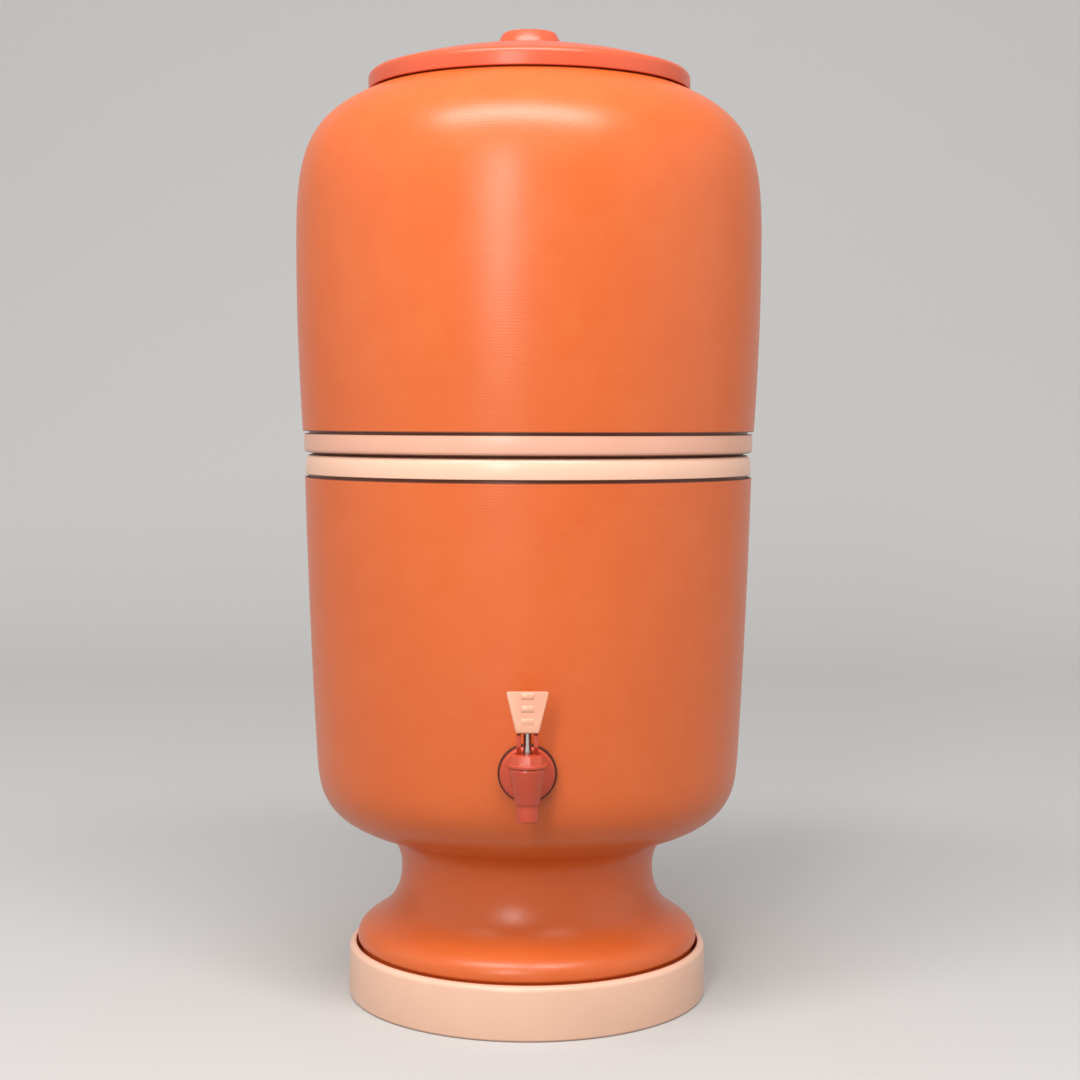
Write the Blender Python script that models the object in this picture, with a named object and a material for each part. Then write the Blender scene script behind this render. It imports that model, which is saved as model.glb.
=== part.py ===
"""Gravity water filter: two terracotta chambers, one on the other, on a pedestal foot.

The upper chamber holds a ceramic candle and the lower one a small lever tap. All sizes are in metres, +Z is up
and the origin is the centre of the base's underside. The tap faces -Y.
"""

import math

import bmesh
import bpy
from mathutils import Matrix, Vector

# Clearances and facet counts
SEAT_GAP = 0.0003
RUNNING_GAP = 0.0004
MERGE_DISTANCE = 0.000001
POT_FACETS = 32
TURNED_FACETS = 24
SMALL_FACETS = 16
PIN_FACETS = 12
ROUNDING_PER_STEP = 0.0020
ROUNDING_STEPS = 3

# Base stand
BASE_HEIGHT = 0.0302
BASE_CLEARANCE = 0.0014
BASE_WALL = 0.0035
BASE_DRAFT = 0.0004
BASE_EDGE_ROUNDING = 0.0015
BASE_LIP_ROUNDING = 0.0030
BASE_DISH_DEPTH = 0.0182
BASE_FLOOR = 0.0025
BASE_RIM_WIDTH = 0.0050
BASE_BOSS_RADIUS = 0.016
BASE_RIB_THICKNESS = 0.0024
BASE_RIB_RECESS = 0.0005
BASE_RIB_COUNT = 6

# Lower chamber, from the foot up
FOOT_RADIUS = 0.0997
FOOT_EDGE_RISE = 0.0033
FOOT_ROLL = 0.0038
FOOT_SET_BACK = 0.0024
FOOT_SHOULDER_INSET = 0.0151
FOOT_SHOULDER_RISE = 0.0156
WAIST_RADIUS = 0.0738
WAIST_RISE = 0.0410
BOWL_CREASE_OVERHANG = 0.0132
BOWL_CREASE_RISE = 0.0215
BOWL_INSET = 0.0064
BOWL_RISE = 0.0448
LOWER_TOP_RADIUS = 0.1296
LOWER_HEIGHT = 0.3030
CLAY_WALL = 0.0095
FOOT_WALL = 0.0100
BOWL_FLOOR = 0.0120
BOWL_FLOOR_INSET = 0.0110
BOWL_FLOOR_SINK = 0.0010
FOOT_UNDER_ROUNDING = 0.0030
LOWER_TOP_DEG = -91.2
BOWL_DEG = -93.4
BOWL_CREASE_DEG = -164.4
FOOT_SHOULDER_DEG = -39.4
LOWER_SIDE_PULLS = (0.31, 0.24)
BELLY_OUTSIDE_PULLS = (0.335, 0.60)
BELLY_INSIDE_PULLS = (0.46, 0.50)
FOOT_NECK_PULLS = (0.35, 0.40)
FOOT_FLARE_PULLS = (0.49, 0.23)
FOOT_EDGE_PULLS = (0.40, 0.35)
FOOT_ROLL_PULLS = (0.50, 0.50)
FOOT_ROLL_DEG = -150.0
FOOT_HOLLOW_PULLS = (0.45, 0.40)

# Rim rings
RING_WALL = 0.0024
LOWER_RING_BAND = 0.0119
UPPER_RING_BAND = 0.0112
RING_LINE = 0.0014
RING_TOP = 0.0025
RING_SET_BACK = 0.0004
RING_EDGE_ROUNDING = 0.0014
RING_LIP_ROUNDING = 0.0020
RING_INNER_LEG = 0.0115

# Upper chamber
UPPER_OVERHANG = 0.0012
UPPER_RING_SET_BACK = 0.0008
BELLY_SWELL = 0.0033
UPPER_HEIGHT = 0.1999
SHOULDER_RISE = 0.0886
SHOULDER_TOP_STEP = 0.0035
NECK_RISE = 0.0056
NECK_RADIUS = 0.0862
NECK_WALL = 0.0077
MOUTH_ROUNDING = 0.0018
MOUTH_DEPTH = 0.0120
SPIGOT_DEPTH = 0.0296
SPIGOT_CLEARANCE = 0.0058
SPIGOT_ROUNDING = 0.0060
UPPER_FLOOR = 0.0115
UPPER_FLOOR_ROUNDING = 0.0120
STEP_RISE = 0.0200
SHOULDER_TOP_DEG = -21.5
UPPER_BOTTOM_DEG = -93.5
SHOULDER_PULLS = (0.434, 0.515)
SHOULDER_INSIDE_PULLS = (0.50, 0.40)
UPPER_SIDE_PULLS = (0.331, 0.381)

# Lid
LID_OVERHANG = 0.0064
LID_SKIRT_DROP = 0.0052
LID_EDGE_RISE = 0.0016
LID_EDGE_FALL = 0.0012
LID_EDGE_ROUNDING = 0.0040
LID_SHELL = 0.0023
LID_DOME_RISE = 0.0143
LID_PLATE_RISE = 0.0052
LID_SPIGOT_DEPTH = 0.0100
LID_SPIGOT_CLEARANCE = 0.0007
LID_SPIGOT_WALL = 0.0020
LID_SEAT_WIDTH = 0.0018
KNOB_RADIUS = 0.0152
KNOB_FLARE = 0.0024
KNOB_RISE = 0.0094
KNOB_CROWN = 0.0006
KNOB_ROUNDING = 0.0016
KNOB_FILLET = 0.0044

# Candle
STEM_RADIUS = 0.0050
STEM_BORE_RADIUS = 0.0022
STEM_LENGTH = 0.0390
STEM_HOLE_RADIUS = 0.0065
STEM_FIT = 0.0004
CANDLE_WASHER_RADIUS = 0.0160
CANDLE_WASHER_THICKNESS = 0.0025
LOWER_WASHER_RADIUS = 0.0140
LOWER_WASHER_THICKNESS = 0.0020
CANDLE_RADIUS = 0.0275
CANDLE_WALL = 0.0070
CANDLE_SIDE = 0.0640
CANDLE_BASE_FLOOR = 0.0030
CANDLE_BASE_HEIGHT = 0.0140
CANDLE_BASE_WALL = 0.0020
CORE_HEIGHT = 0.0600
WING_NUT_RADIUS = 0.0085
WING_NUT_HEIGHT = 0.0100
WING_SPAN = 0.0190
WING_THICKNESS = 0.0028

# Float valve
VALVE_RADIUS = 0.0095
VALVE_BODY_HEIGHT = 0.0160
VALVE_SOCKET_FLOOR = 0.0030
VALVE_CONE_HEIGHT = 0.0030
NOZZLE_RADIUS = 0.0026
NOZZLE_BORE_RADIUS = 0.0012
NOZZLE_LENGTH = 0.0030
VALVE_LUG_THICKNESS = 0.0025
LUG_ROOT = 0.0040
LUG_TOP_DROP = 0.0030
LUG_TOP_BACK = 0.0010
LUG_TAIL_MARGIN = 0.0010
LUG_TAIL_TOP = 0.0075
LUG_TAIL_FOOT = 0.0040
LUG_HALF_FOOT = 0.0032
LUG_ROUNDING = 0.0020
STOP_FRONT = 0.0028
STOP_FOOT = 0.0044
STOP_TOP = 0.0068
HINGE_REACH = 0.0135
HINGE_PIN_RADIUS = 0.0012
ARM_WIDTH = 0.0066
ARM_THICKNESS = 0.0036
ARM_TOP_RISE = 0.0010
ARM_LENGTH = 0.0500
ARM_TAIL = 0.0060
ARM_TAIL_DROP = 0.0010
EYE_PROUD = 0.0001
CUT_MARGIN = 0.0010
ARM_HUB_RADIUS = 0.0032
ARM_EYE_RADIUS = 0.0060
SEAL_RADIUS = 0.0033
SEAL_THICKNESS = 0.0025
SEAL_POCKET_DEPTH = 0.0015
FLOAT_RADIUS = 0.0190
FLOAT_CAP_SIDE = 0.0080
FLOAT_CUP_SIDE = 0.0110
FLOAT_DOME_RISE = 0.0090
FLOAT_DOME_PULLS = (0.50, 0.45)
FLOAT_CAP_PULLS = (0.35, 0.50)
FLOAT_CAP_INSIDE_PULLS = (0.60, 0.30)
FLOAT_CAP_SLOPE_DEG = -12.0
FLOAT_WALL = 0.0014
FLOAT_NECK_RADIUS = 0.0032
FLOAT_BEAD = 0.0012
FLOAT_BEAD_RISE = 0.0016
FLOAT_BEAD_EDGE = 0.0006
FLOAT_BEAD_TAPER = 0.0004
FLOAT_LAP = 0.0040
FLOAT_DROOP_DEG = 28.0

# Tap, heights measured from the shank's axis
TAP_RISE = 0.1175
TAP_REACH = 0.0262
SHANK_RADIUS = 0.0072
SHANK_BORE_RADIUS = 0.0034
SHANK_TAIL = 0.0040
SHANK_HOLE_CLEARANCE = 0.0011
THREAD_CLEARANCE = 0.00035
FLANGE_RADIUS = 0.0146
FLANGE_THICKNESS = 0.0030
TAP_NECK_RADIUS = 0.0062
FLANGE_WASHER_RADIUS = 0.0156
FLANGE_WASHER_THICKNESS = 0.0028
INNER_WASHER_RADIUS = 0.0125
INNER_WASHER_THICKNESS = 0.0030
TAP_NUT_RADIUS = 0.0140
TAP_NUT_THICKNESS = 0.0070
CUP_SHOULDER_RADIUS = 0.0098
CUP_SHOULDER_RISE = 0.0076
CUP_FOOT_RADIUS = 0.0063
CUP_FOOT_DROP = 0.0110
SPOUT_RADIUS = 0.0058
SPOUT_LENGTH = 0.0094
SPOUT_BORE_RADIUS = 0.0036
CUP_NECK_RADIUS = 0.0079
CUP_NECK_RISE = 0.0024
CUP_BORE_RADIUS = 0.0064
CUP_BORE_DROP = 0.0040
VALVE_SEAT_RADIUS = 0.0034
VALVE_SEAT_DROP = 0.0035
PLUG_RADIUS = 0.0056
PLUG_BAND = 0.0026
GASKET_THICKNESS = 0.0008
GUIDE_THICKNESS = 0.0015
GUIDE_NECK_RADIUS = 0.0060
GUIDE_NECK_CLEARANCE = 0.0003
BONNET_LIP_RADIUS = 0.01025
BONNET_LIP_HEIGHT = 0.0018
BONNET_TOP_RADIUS = 0.0088
BONNET_TOP_THICKNESS = 0.0012
BONNET_FLAT_COUNT = 9
EAR_GAP = 0.0066
EAR_THICKNESS = 0.0023
EAR_RISE = 0.0106
EAR_ROOT_DEPTH = 0.0036
EAR_BACK_REACH = 0.0040
EAR_FRONT_REACH = 0.0056
EAR_FLARE_RISE = 0.0040

# Rod, spring and lever
ROD_RADIUS = 0.0020
ROD_EYE_RADIUS = 0.0027
ROD_EYE_HALF_WIDTH = 0.0019
ROD_SOCKET_DEPTH = 0.0036
LEVER_PIN_RADIUS = 0.0010
LEVER_PIN_INSET = 0.0003
SPRING_WIRE_RADIUS = 0.0004
SPRING_COIL_RADIUS = 0.0042
SPRING_TURNS = 5.0
SPRING_POINTS_PER_TURN = 10
SPRING_END_TURNS = 0.75
SPRING_END_PITCH = 0.0013
CAM_BASE_RADIUS = 0.0040
CAM_LIFT_PER_RADIAN = 0.0035
LEVER_TILT_DEG = 35.0
CAM_RUN_OUT_DEG = 5.0
CAM_BACK_REACH = 0.0032
LEVER_BOTTOM_WIDTH = 0.0113
LEVER_TOP_WIDTH = 0.0220
LEVER_HEIGHT = 0.0220
LEVER_THICKNESS = 0.0024
LEVER_LEAN_DEG = 6.0
LEVER_SLOT_WIDTH = 0.0050
FINGER_RIB_WIDTH = 0.0066
FINGER_RIB_HEIGHT = 0.0034
FINGER_RIB_PROUD = 0.0007
FINGER_RIB_PITCH = 0.0065
FINGER_RIB_START = 0.0049
FINGER_RIB_COUNT = 3

# Heights worked out from the sizes above
FOOT_UNDER_Z = BASE_HEIGHT - BASE_DISH_DEPTH + SEAT_GAP
FOOT_EDGE_Z = BASE_HEIGHT + FOOT_EDGE_RISE
WAIST_Z = FOOT_EDGE_Z + WAIST_RISE
CREASE_Z = WAIST_Z + BOWL_CREASE_RISE
BOWL_Z = CREASE_Z + BOWL_RISE
LOWER_SHOULDER_Z = LOWER_HEIGHT
LOWER_RING_TOP_Z = LOWER_SHOULDER_Z + RING_LINE + LOWER_RING_BAND
LOWER_RIM_Z = LOWER_RING_TOP_Z - RING_TOP - SEAT_GAP
UPPER_RING_Z = LOWER_RING_TOP_Z + SEAT_GAP
UPPER_STEP_Z = UPPER_RING_Z + RING_TOP + SEAT_GAP
UPPER_EDGE_Z = UPPER_RING_Z + UPPER_RING_BAND + RING_LINE
UPPER_UNDER_Z = UPPER_STEP_Z - SPIGOT_DEPTH
UPPER_FLOOR_Z = UPPER_UNDER_Z + UPPER_FLOOR
MOUTH_Z = UPPER_EDGE_Z + UPPER_HEIGHT
SHOULDER_TOP_Z = MOUTH_Z - NECK_RISE
BELLY_Z = SHOULDER_TOP_Z - SHOULDER_RISE
TAP_Z = FOOT_EDGE_Z + TAP_RISE

# Radii that follow from one another
FOOT_SHOULDER_RADIUS = FOOT_RADIUS - FOOT_SHOULDER_INSET
FOOT_NECK_RADIUS = FOOT_RADIUS - FOOT_SET_BACK
BOWL_CREASE_RADIUS = WAIST_RADIUS + BOWL_CREASE_OVERHANG
BOWL_FLOOR_RADIUS = BOWL_CREASE_RADIUS - BOWL_FLOOR_INSET
BOWL_RADIUS = LOWER_TOP_RADIUS - BOWL_INSET
UPPER_BOTTOM_RADIUS = LOWER_TOP_RADIUS + UPPER_OVERHANG
BELLY_RADIUS = UPPER_BOTTOM_RADIUS + BELLY_SWELL
SHOULDER_TOP_RADIUS = NECK_RADIUS + SHOULDER_TOP_STEP
MOUTH_RADIUS = NECK_RADIUS - NECK_WALL
LID_RADIUS = NECK_RADIUS + LID_OVERHANG

# Radii of the nested rims
LOWER_RING_RADIUS = LOWER_TOP_RADIUS - RING_SET_BACK
LOWER_RIM_RADIUS = LOWER_RING_RADIUS - RING_WALL - SEAT_GAP
LOWER_MOUTH_RADIUS = LOWER_TOP_RADIUS - CLAY_WALL
RING_LEG_RADIUS = LOWER_MOUTH_RADIUS - SEAT_GAP - RING_WALL
UPPER_RING_RADIUS = UPPER_BOTTOM_RADIUS - UPPER_RING_SET_BACK
UPPER_RIM_RADIUS = UPPER_RING_RADIUS - RING_WALL - SEAT_GAP
SPIGOT_RADIUS = RING_LEG_RADIUS - SPIGOT_CLEARANCE

# Candle and float valve heights, from the upper chamber's floor
CANDLE_BASE_Z = UPPER_FLOOR_Z + CANDLE_WASHER_THICKNESS + 2 * SEAT_GAP
CANDLE_SEAT_Z = CANDLE_BASE_Z + CANDLE_BASE_FLOOR + SEAT_GAP
LOWER_WASHER_Z = UPPER_UNDER_Z - SEAT_GAP - LOWER_WASHER_THICKNESS
WING_NUT_Z = LOWER_WASHER_Z - SEAT_GAP - WING_NUT_HEIGHT
VALVE_TOP_Z = WING_NUT_Z - SEAT_GAP
STEM_END_Z = CANDLE_BASE_Z - STEM_LENGTH
VALVE_SOCKET_Z = STEM_END_Z - SEAT_GAP
VALVE_CONE_Z = VALVE_TOP_Z - VALVE_BODY_HEIGHT
NOZZLE_Z = VALVE_CONE_Z - VALVE_CONE_HEIGHT - NOZZLE_LENGTH
SEAL_PROUD = SEAL_THICKNESS + SEAT_GAP - SEAL_POCKET_DEPTH
HINGE_Z = NOZZLE_Z - SEAT_GAP - SEAL_PROUD - ARM_TOP_RISE
STEM_CLEARANCE_RADIUS = STEM_RADIUS + STEM_FIT

# Tap heights, from the shank's axis
CUP_NECK_TOP = CUP_SHOULDER_RISE + CUP_NECK_RISE
GUIDE_UNDER = CUP_NECK_TOP + GASKET_THICKNESS + 2 * SEAT_GAP
GUIDE_TOP = GUIDE_UNDER + GUIDE_THICKNESS
BONNET_TOP = GUIDE_TOP + SEAT_GAP + BONNET_TOP_THICKNESS
EAR_TOP = BONNET_TOP + EAR_RISE
LEVER_PIN_RISE = EAR_TOP + SEAT_GAP + CAM_BASE_RADIUS
SEAT_TOP = -CUP_BORE_DROP
SEAT_BOTTOM = SEAT_TOP - VALVE_SEAT_DROP
PLUG_TOP = SEAT_TOP + PLUG_BAND
WASHER_HOLE_RADIUS = SHANK_RADIUS + THREAD_CLEARANCE
ROD_BORE_RADIUS = ROD_RADIUS + RUNNING_GAP


def polar(radius, degrees):
    """Point at a radius and an angle."""
    angle = math.radians(degrees)
    return radius * math.cos(angle), radius * math.sin(angle)


def curve(start, start_deg, start_pull, end, end_deg, end_pull, steps):
    """Points after start up to end on a cubic; headings in degrees, pulls as shares of the chord."""
    chord = math.dist(start, end)
    leave = polar(start_pull * chord, start_deg)
    arrive = polar(end_pull * chord, end_deg)
    controls = [start, (start[0] + leave[0], start[1] + leave[1]), (end[0] - arrive[0], end[1] - arrive[1]), end]
    points = []
    for step in range(1, steps + 1):
        t = step / steps
        weights = ((1 - t) ** 3, 3 * t * (1 - t) ** 2, 3 * t * t * (1 - t), t ** 3)
        r = sum(w * c[0] for w, c in zip(weights, controls))
        z = sum(w * c[1] for w, c in zip(weights, controls))
        points.append((r, z))
    return points


def corner_arc(before, corner, after, rounding):
    """Arc that rounds the corner between its two neighbours, with more facets the larger it is."""
    steps = min(ROUNDING_STEPS, 1 + int(rounding / ROUNDING_PER_STEP))
    corner = Vector(corner)
    back = (Vector(before) - corner).normalized()
    ahead = (Vector(after) - corner).normalized()
    half_angle = back.angle(ahead) / 2
    reach = rounding / math.tan(half_angle)
    centre = corner + (back + ahead).normalized() * (rounding / math.sin(half_angle))
    first = corner + back * reach - centre
    last = corner + ahead * reach - centre
    turn = first.angle_signed(last)
    points = []
    for step in range(steps + 1):
        spoke = Matrix.Rotation(-turn * step / steps, 2) @ first
        points.append(tuple(centre + spoke))
    return points


def rounded(corners, closed=True):
    """Outline through (r, z, rounding) corners; a corner with no rounding stays sharp."""
    points = []
    for index, (r, z, rounding) in enumerate(corners):
        inner = closed or 0 < index < len(corners) - 1
        if rounding > 0 and inner:
            before = corners[index - 1][:2]
            after = corners[(index + 1) % len(corners)][:2]
            points += corner_arc(before, (r, z), after, rounding)
        else:
            points.append((r, z))
    return points


def radius_at(outline, height):
    """Radius of a falling outline at a height."""
    for (r0, z0), (r1, z1) in zip(outline, outline[1:]):
        if z0 >= height >= z1:
            return r0 + (r1 - r0) * (z0 - height) / (z0 - z1)
    raise ValueError("the height lies outside the outline")


def revolve(outline, facets, closed):
    """Turned solid about +Z. An open outline starts and ends on the axis."""
    shape = bmesh.new()
    verts = [shape.verts.new((r, 0.0, z)) for r, z in outline]
    edges = [shape.edges.new(pair) for pair in zip(verts, verts[1:])]
    if closed:
        edges.append(shape.edges.new((verts[-1], verts[0])))
    bmesh.ops.spin(
        shape, geom=verts + edges, cent=(0, 0, 0), axis=(0, 0, 1), angle=math.tau, steps=facets, use_merge=True
    )
    bmesh.ops.remove_doubles(shape, verts=shape.verts, dist=MERGE_DISTANCE)
    bmesh.ops.recalc_face_normals(shape, faces=shape.faces)
    return shape


def cylinder(radius, low, high, facets):
    """Plain round bar about +Z."""
    return revolve([(0, low), (radius, low), (radius, high), (0, high)], facets, closed=False)


def prism(outline, low, high, plane):
    """Outline in a plane, extruded across it from low to high."""
    place = {
        "XZ": lambda a, b, depth: (a, depth, b),
        "YZ": lambda a, b, depth: (depth, a, b),
        "XY": lambda a, b, depth: (a, b, depth),
    }[plane]
    shape = bmesh.new()
    face = shape.faces.new([shape.verts.new(place(a, b, low)) for a, b in outline])
    extruded = bmesh.ops.extrude_face_region(shape, geom=[face])
    moved = [item for item in extruded["geom"] if isinstance(item, bmesh.types.BMVert)]
    across = Vector(place(0, 0, high)) - Vector(place(0, 0, low))
    bmesh.ops.translate(shape, verts=moved, vec=across)
    bmesh.ops.recalc_face_normals(shape, faces=shape.faces)
    return shape


def turned(shape, degrees, axis):
    """The same shape turned about an axis through its origin."""
    spin = Matrix.Rotation(math.radians(degrees), 3, axis)
    bmesh.ops.rotate(shape, verts=shape.verts, cent=(0, 0, 0), matrix=spin)
    return shape


def moved(shape, offset):
    """The same shape moved by an offset."""
    bmesh.ops.translate(shape, verts=shape.verts, vec=offset)
    return shape


def add_part(name, shape, finish, location=(0, 0, 0), parent=None):
    """Named sub-part with its own finish."""
    mesh = bpy.data.meshes.new(name)
    shape.to_mesh(mesh)
    shape.free()
    mesh.shade_smooth()
    mesh.set_sharp_from_angle(angle=math.radians(35))
    mesh.materials.append(finish)
    part = bpy.data.objects.new(name, mesh)
    bpy.context.scene.collection.objects.link(part)
    part.location = location
    part.parent = parent
    return part


def reshape(part, shape, operation, shared=False):
    """Joins a shape to the part or cuts it away; a shared shape stands in the world, not on the part."""
    label = f"{part.name}_{operation.lower()}_{len(part.modifiers) + 1}"
    mesh = bpy.data.meshes.new(label)
    shape.to_mesh(mesh)
    shape.free()
    helper = bpy.data.objects.new(label, mesh)
    bpy.context.scene.collection.objects.link(helper)
    helper.hide_render = True
    helper.display_type = "WIRE"
    if not shared:
        helper.parent = part
    step = part.modifiers.new(operation.title(), "BOOLEAN")
    step.operation = operation
    step.solver = "EXACT"
    step.object = helper


def add_pivot(name, location):
    """Empty that carries a moving body at its joint."""
    pivot = bpy.data.objects.new(name, None)
    bpy.context.scene.collection.objects.link(pivot)
    pivot.location = location
    return pivot


def make_finish(name, colour, roughness, metallic=0.0):
    """Surface finish of one kind of piece."""
    finish = bpy.data.materials.new(name)
    finish.use_nodes = True
    shader = finish.node_tree.nodes["Principled BSDF"]
    shader.inputs["Base Color"].default_value = (*colour, 1.0)
    shader.inputs["Roughness"].default_value = roughness
    shader.inputs["Metallic"].default_value = metallic
    finish.diffuse_color = (*colour, 1.0)
    return finish


def base_stand(finish):
    """Moulded dish under the foot, with ribs below its floor and a boss at its centre."""
    inner = FOOT_RADIUS + BASE_CLEARANCE
    top = inner + BASE_WALL
    bottom = top + BASE_DRAFT
    floor_top = BASE_HEIGHT - BASE_DISH_DEPTH
    floor_under = floor_top - BASE_FLOOR
    rim_inner = bottom - BASE_EDGE_ROUNDING - BASE_RIM_WIDTH
    outline = rounded([
        (0, 0, 0),
        (BASE_BOSS_RADIUS, 0, 0),
        (BASE_BOSS_RADIUS, floor_under, 0),
        (rim_inner, floor_under, 0),
        (rim_inner, 0, 0),
        (bottom, 0, BASE_EDGE_ROUNDING),
        (top, BASE_HEIGHT, BASE_LIP_ROUNDING),
        (inner, BASE_HEIGHT, 0),
        (inner, floor_top, 0),
        (0, floor_top, 0),
    ], closed=False)
    part = add_part("base_stand", revolve(outline, POT_FACETS, closed=False), finish)
    rib_start = BASE_BOSS_RADIUS * 0.8
    rib_end = rim_inner + BASE_RIM_WIDTH / 2
    half = BASE_RIB_THICKNESS / 2
    rib_top = floor_under + BASE_FLOOR / 2
    ribs = [(rib_start, -half), (rib_end, -half), (rib_end, half), (rib_start, half)]
    for index in range(BASE_RIB_COUNT):
        rib = prism(ribs, BASE_RIB_RECESS, rib_top, "XY")
        reshape(part, turned(rib, 360 * (index + 0.5) / BASE_RIB_COUNT, "Z"), "UNION")


def lower_wall_outside():
    """Outside of the lower bowl, from its shoulder under the rim ring down to the crease over the waist."""
    top = (LOWER_TOP_RADIUS, LOWER_SHOULDER_Z)
    turn = (BOWL_RADIUS, BOWL_Z)
    crease = (BOWL_CREASE_RADIUS, CREASE_Z)
    side = curve(top, LOWER_TOP_DEG, LOWER_SIDE_PULLS[0], turn, BOWL_DEG, LOWER_SIDE_PULLS[1], 3)
    belly = curve(turn, BOWL_DEG, BELLY_OUTSIDE_PULLS[0], crease, BOWL_CREASE_DEG, BELLY_OUTSIDE_PULLS[1], 5)
    return [top] + side + belly


def lower_wall_inside():
    """Inside of the lower bowl, from its mouth down to the flat of its floor."""
    top = (LOWER_MOUTH_RADIUS, LOWER_SHOULDER_Z)
    turn = (BOWL_RADIUS - CLAY_WALL, BOWL_Z)
    floor = (BOWL_FLOOR_RADIUS, CREASE_Z + CLAY_WALL - BOWL_FLOOR_SINK)
    side = curve(top, LOWER_TOP_DEG, LOWER_SIDE_PULLS[0], turn, BOWL_DEG, LOWER_SIDE_PULLS[1], 2)
    belly = curve(turn, BOWL_DEG, BELLY_INSIDE_PULLS[0], floor, 180, BELLY_INSIDE_PULLS[1], 4)
    return [top] + side + belly


def lower_chamber(finish):
    """Thrown clay bowl on its hollow pedestal foot, with a rebated rim and a hole for the tap."""
    waist = (WAIST_RADIUS, WAIST_Z)
    shoulder = (FOOT_SHOULDER_RADIUS, FOOT_EDGE_Z + FOOT_SHOULDER_RISE)
    edge = (FOOT_RADIUS, FOOT_EDGE_Z)
    bowl_outside = lower_wall_outside()
    bowl_inside = lower_wall_inside()
    neck = curve(bowl_outside[-1], BOWL_CREASE_DEG, FOOT_NECK_PULLS[0], waist, -90, FOOT_NECK_PULLS[1], 3)
    flare = curve(waist, -90, FOOT_FLARE_PULLS[0], shoulder, FOOT_SHOULDER_DEG, FOOT_FLARE_PULLS[1], 3)
    roll = curve(shoulder, FOOT_SHOULDER_DEG, FOOT_EDGE_PULLS[0], edge, -90, FOOT_EDGE_PULLS[1], 4)
    foot_neck = (FOOT_NECK_RADIUS, FOOT_EDGE_Z - FOOT_ROLL)
    roll += curve(edge, -90, FOOT_ROLL_PULLS[0], foot_neck, FOOT_ROLL_DEG, FOOT_ROLL_PULLS[1], 2)
    hollow_radius = FOOT_RADIUS - FOOT_WALL
    throat_radius = WAIST_RADIUS - FOOT_WALL
    ceiling = bowl_inside[-1][1] - BOWL_FLOOR
    throat = (throat_radius, WAIST_Z - FOOT_WALL)
    hollow_foot = (hollow_radius, FOOT_EDGE_Z)
    hollow = [(0, ceiling), (throat_radius * 0.9, ceiling), (throat_radius, WAIST_Z), throat]
    hollow += curve(throat, -90, FOOT_HOLLOW_PULLS[0], hollow_foot, -90, FOOT_HOLLOW_PULLS[1], 4)
    hollow.append((hollow_radius, FOOT_UNDER_Z))
    under = corner_arc(hollow[-1], (FOOT_NECK_RADIUS, FOOT_UNDER_Z), foot_neck, FOOT_UNDER_ROUNDING)
    rim = [
        (LOWER_RIM_RADIUS, LOWER_SHOULDER_Z),
        (LOWER_RIM_RADIUS, LOWER_RIM_Z),
        (LOWER_MOUTH_RADIUS, LOWER_RIM_Z),
    ]
    outside = bowl_outside + neck + flare + roll
    outline = hollow + under + outside[::-1] + rim + bowl_inside[1:] + [(0, bowl_inside[-1][1])]
    part = add_part("lower_chamber", revolve(outline, POT_FACETS, closed=False), finish)
    reach = max(LOWER_TOP_RADIUS, BOWL_RADIUS) + CLAY_WALL
    hole = cylinder(SHANK_RADIUS + SHANK_HOLE_CLEARANCE, -reach, 0, SMALL_FACETS)
    reshape(part, moved(turned(hole, -90, "X"), (0, 0, TAP_Z)), "DIFFERENCE")


def lower_rim_ring(finish):
    """Channel ring clipped over the lower chamber's rim."""
    leg_outer = LOWER_MOUTH_RADIUS - SEAT_GAP
    web_under = LOWER_RING_TOP_Z - RING_TOP
    outer_foot = LOWER_RING_TOP_Z - LOWER_RING_BAND
    inner_foot = LOWER_RING_TOP_Z - RING_INNER_LEG
    outline = rounded([
        (LOWER_RING_RADIUS - RING_WALL, outer_foot, 0),
        (LOWER_RING_RADIUS, outer_foot, RING_EDGE_ROUNDING / 2),
        (LOWER_RING_RADIUS, LOWER_RING_TOP_Z, RING_LIP_ROUNDING),
        (RING_LEG_RADIUS, LOWER_RING_TOP_Z, RING_EDGE_ROUNDING),
        (RING_LEG_RADIUS, inner_foot, 0),
        (leg_outer, inner_foot, 0),
        (leg_outer, web_under, 0),
        (LOWER_RING_RADIUS - RING_WALL, web_under, 0),
    ])
    add_part("lower_rim_ring", revolve(outline, POT_FACETS, closed=True), finish)


def upper_rim_ring(finish, carrier):
    """Angle ring under the upper chamber's step."""
    web_top = UPPER_RING_Z + RING_TOP
    band_top = UPPER_RING_Z + UPPER_RING_BAND
    outline = rounded([
        (SPIGOT_RADIUS + SEAT_GAP, UPPER_RING_Z, RING_EDGE_ROUNDING / 2),
        (UPPER_RING_RADIUS, UPPER_RING_Z, RING_LIP_ROUNDING),
        (UPPER_RING_RADIUS, band_top, RING_EDGE_ROUNDING / 2),
        (UPPER_RING_RADIUS - RING_WALL, band_top, 0),
        (UPPER_RING_RADIUS - RING_WALL, web_top, 0),
        (SPIGOT_RADIUS + SEAT_GAP, web_top, 0),
    ])
    add_part("upper_rim_ring", revolve(outline, POT_FACETS, closed=True), finish, parent=carrier)


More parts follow.
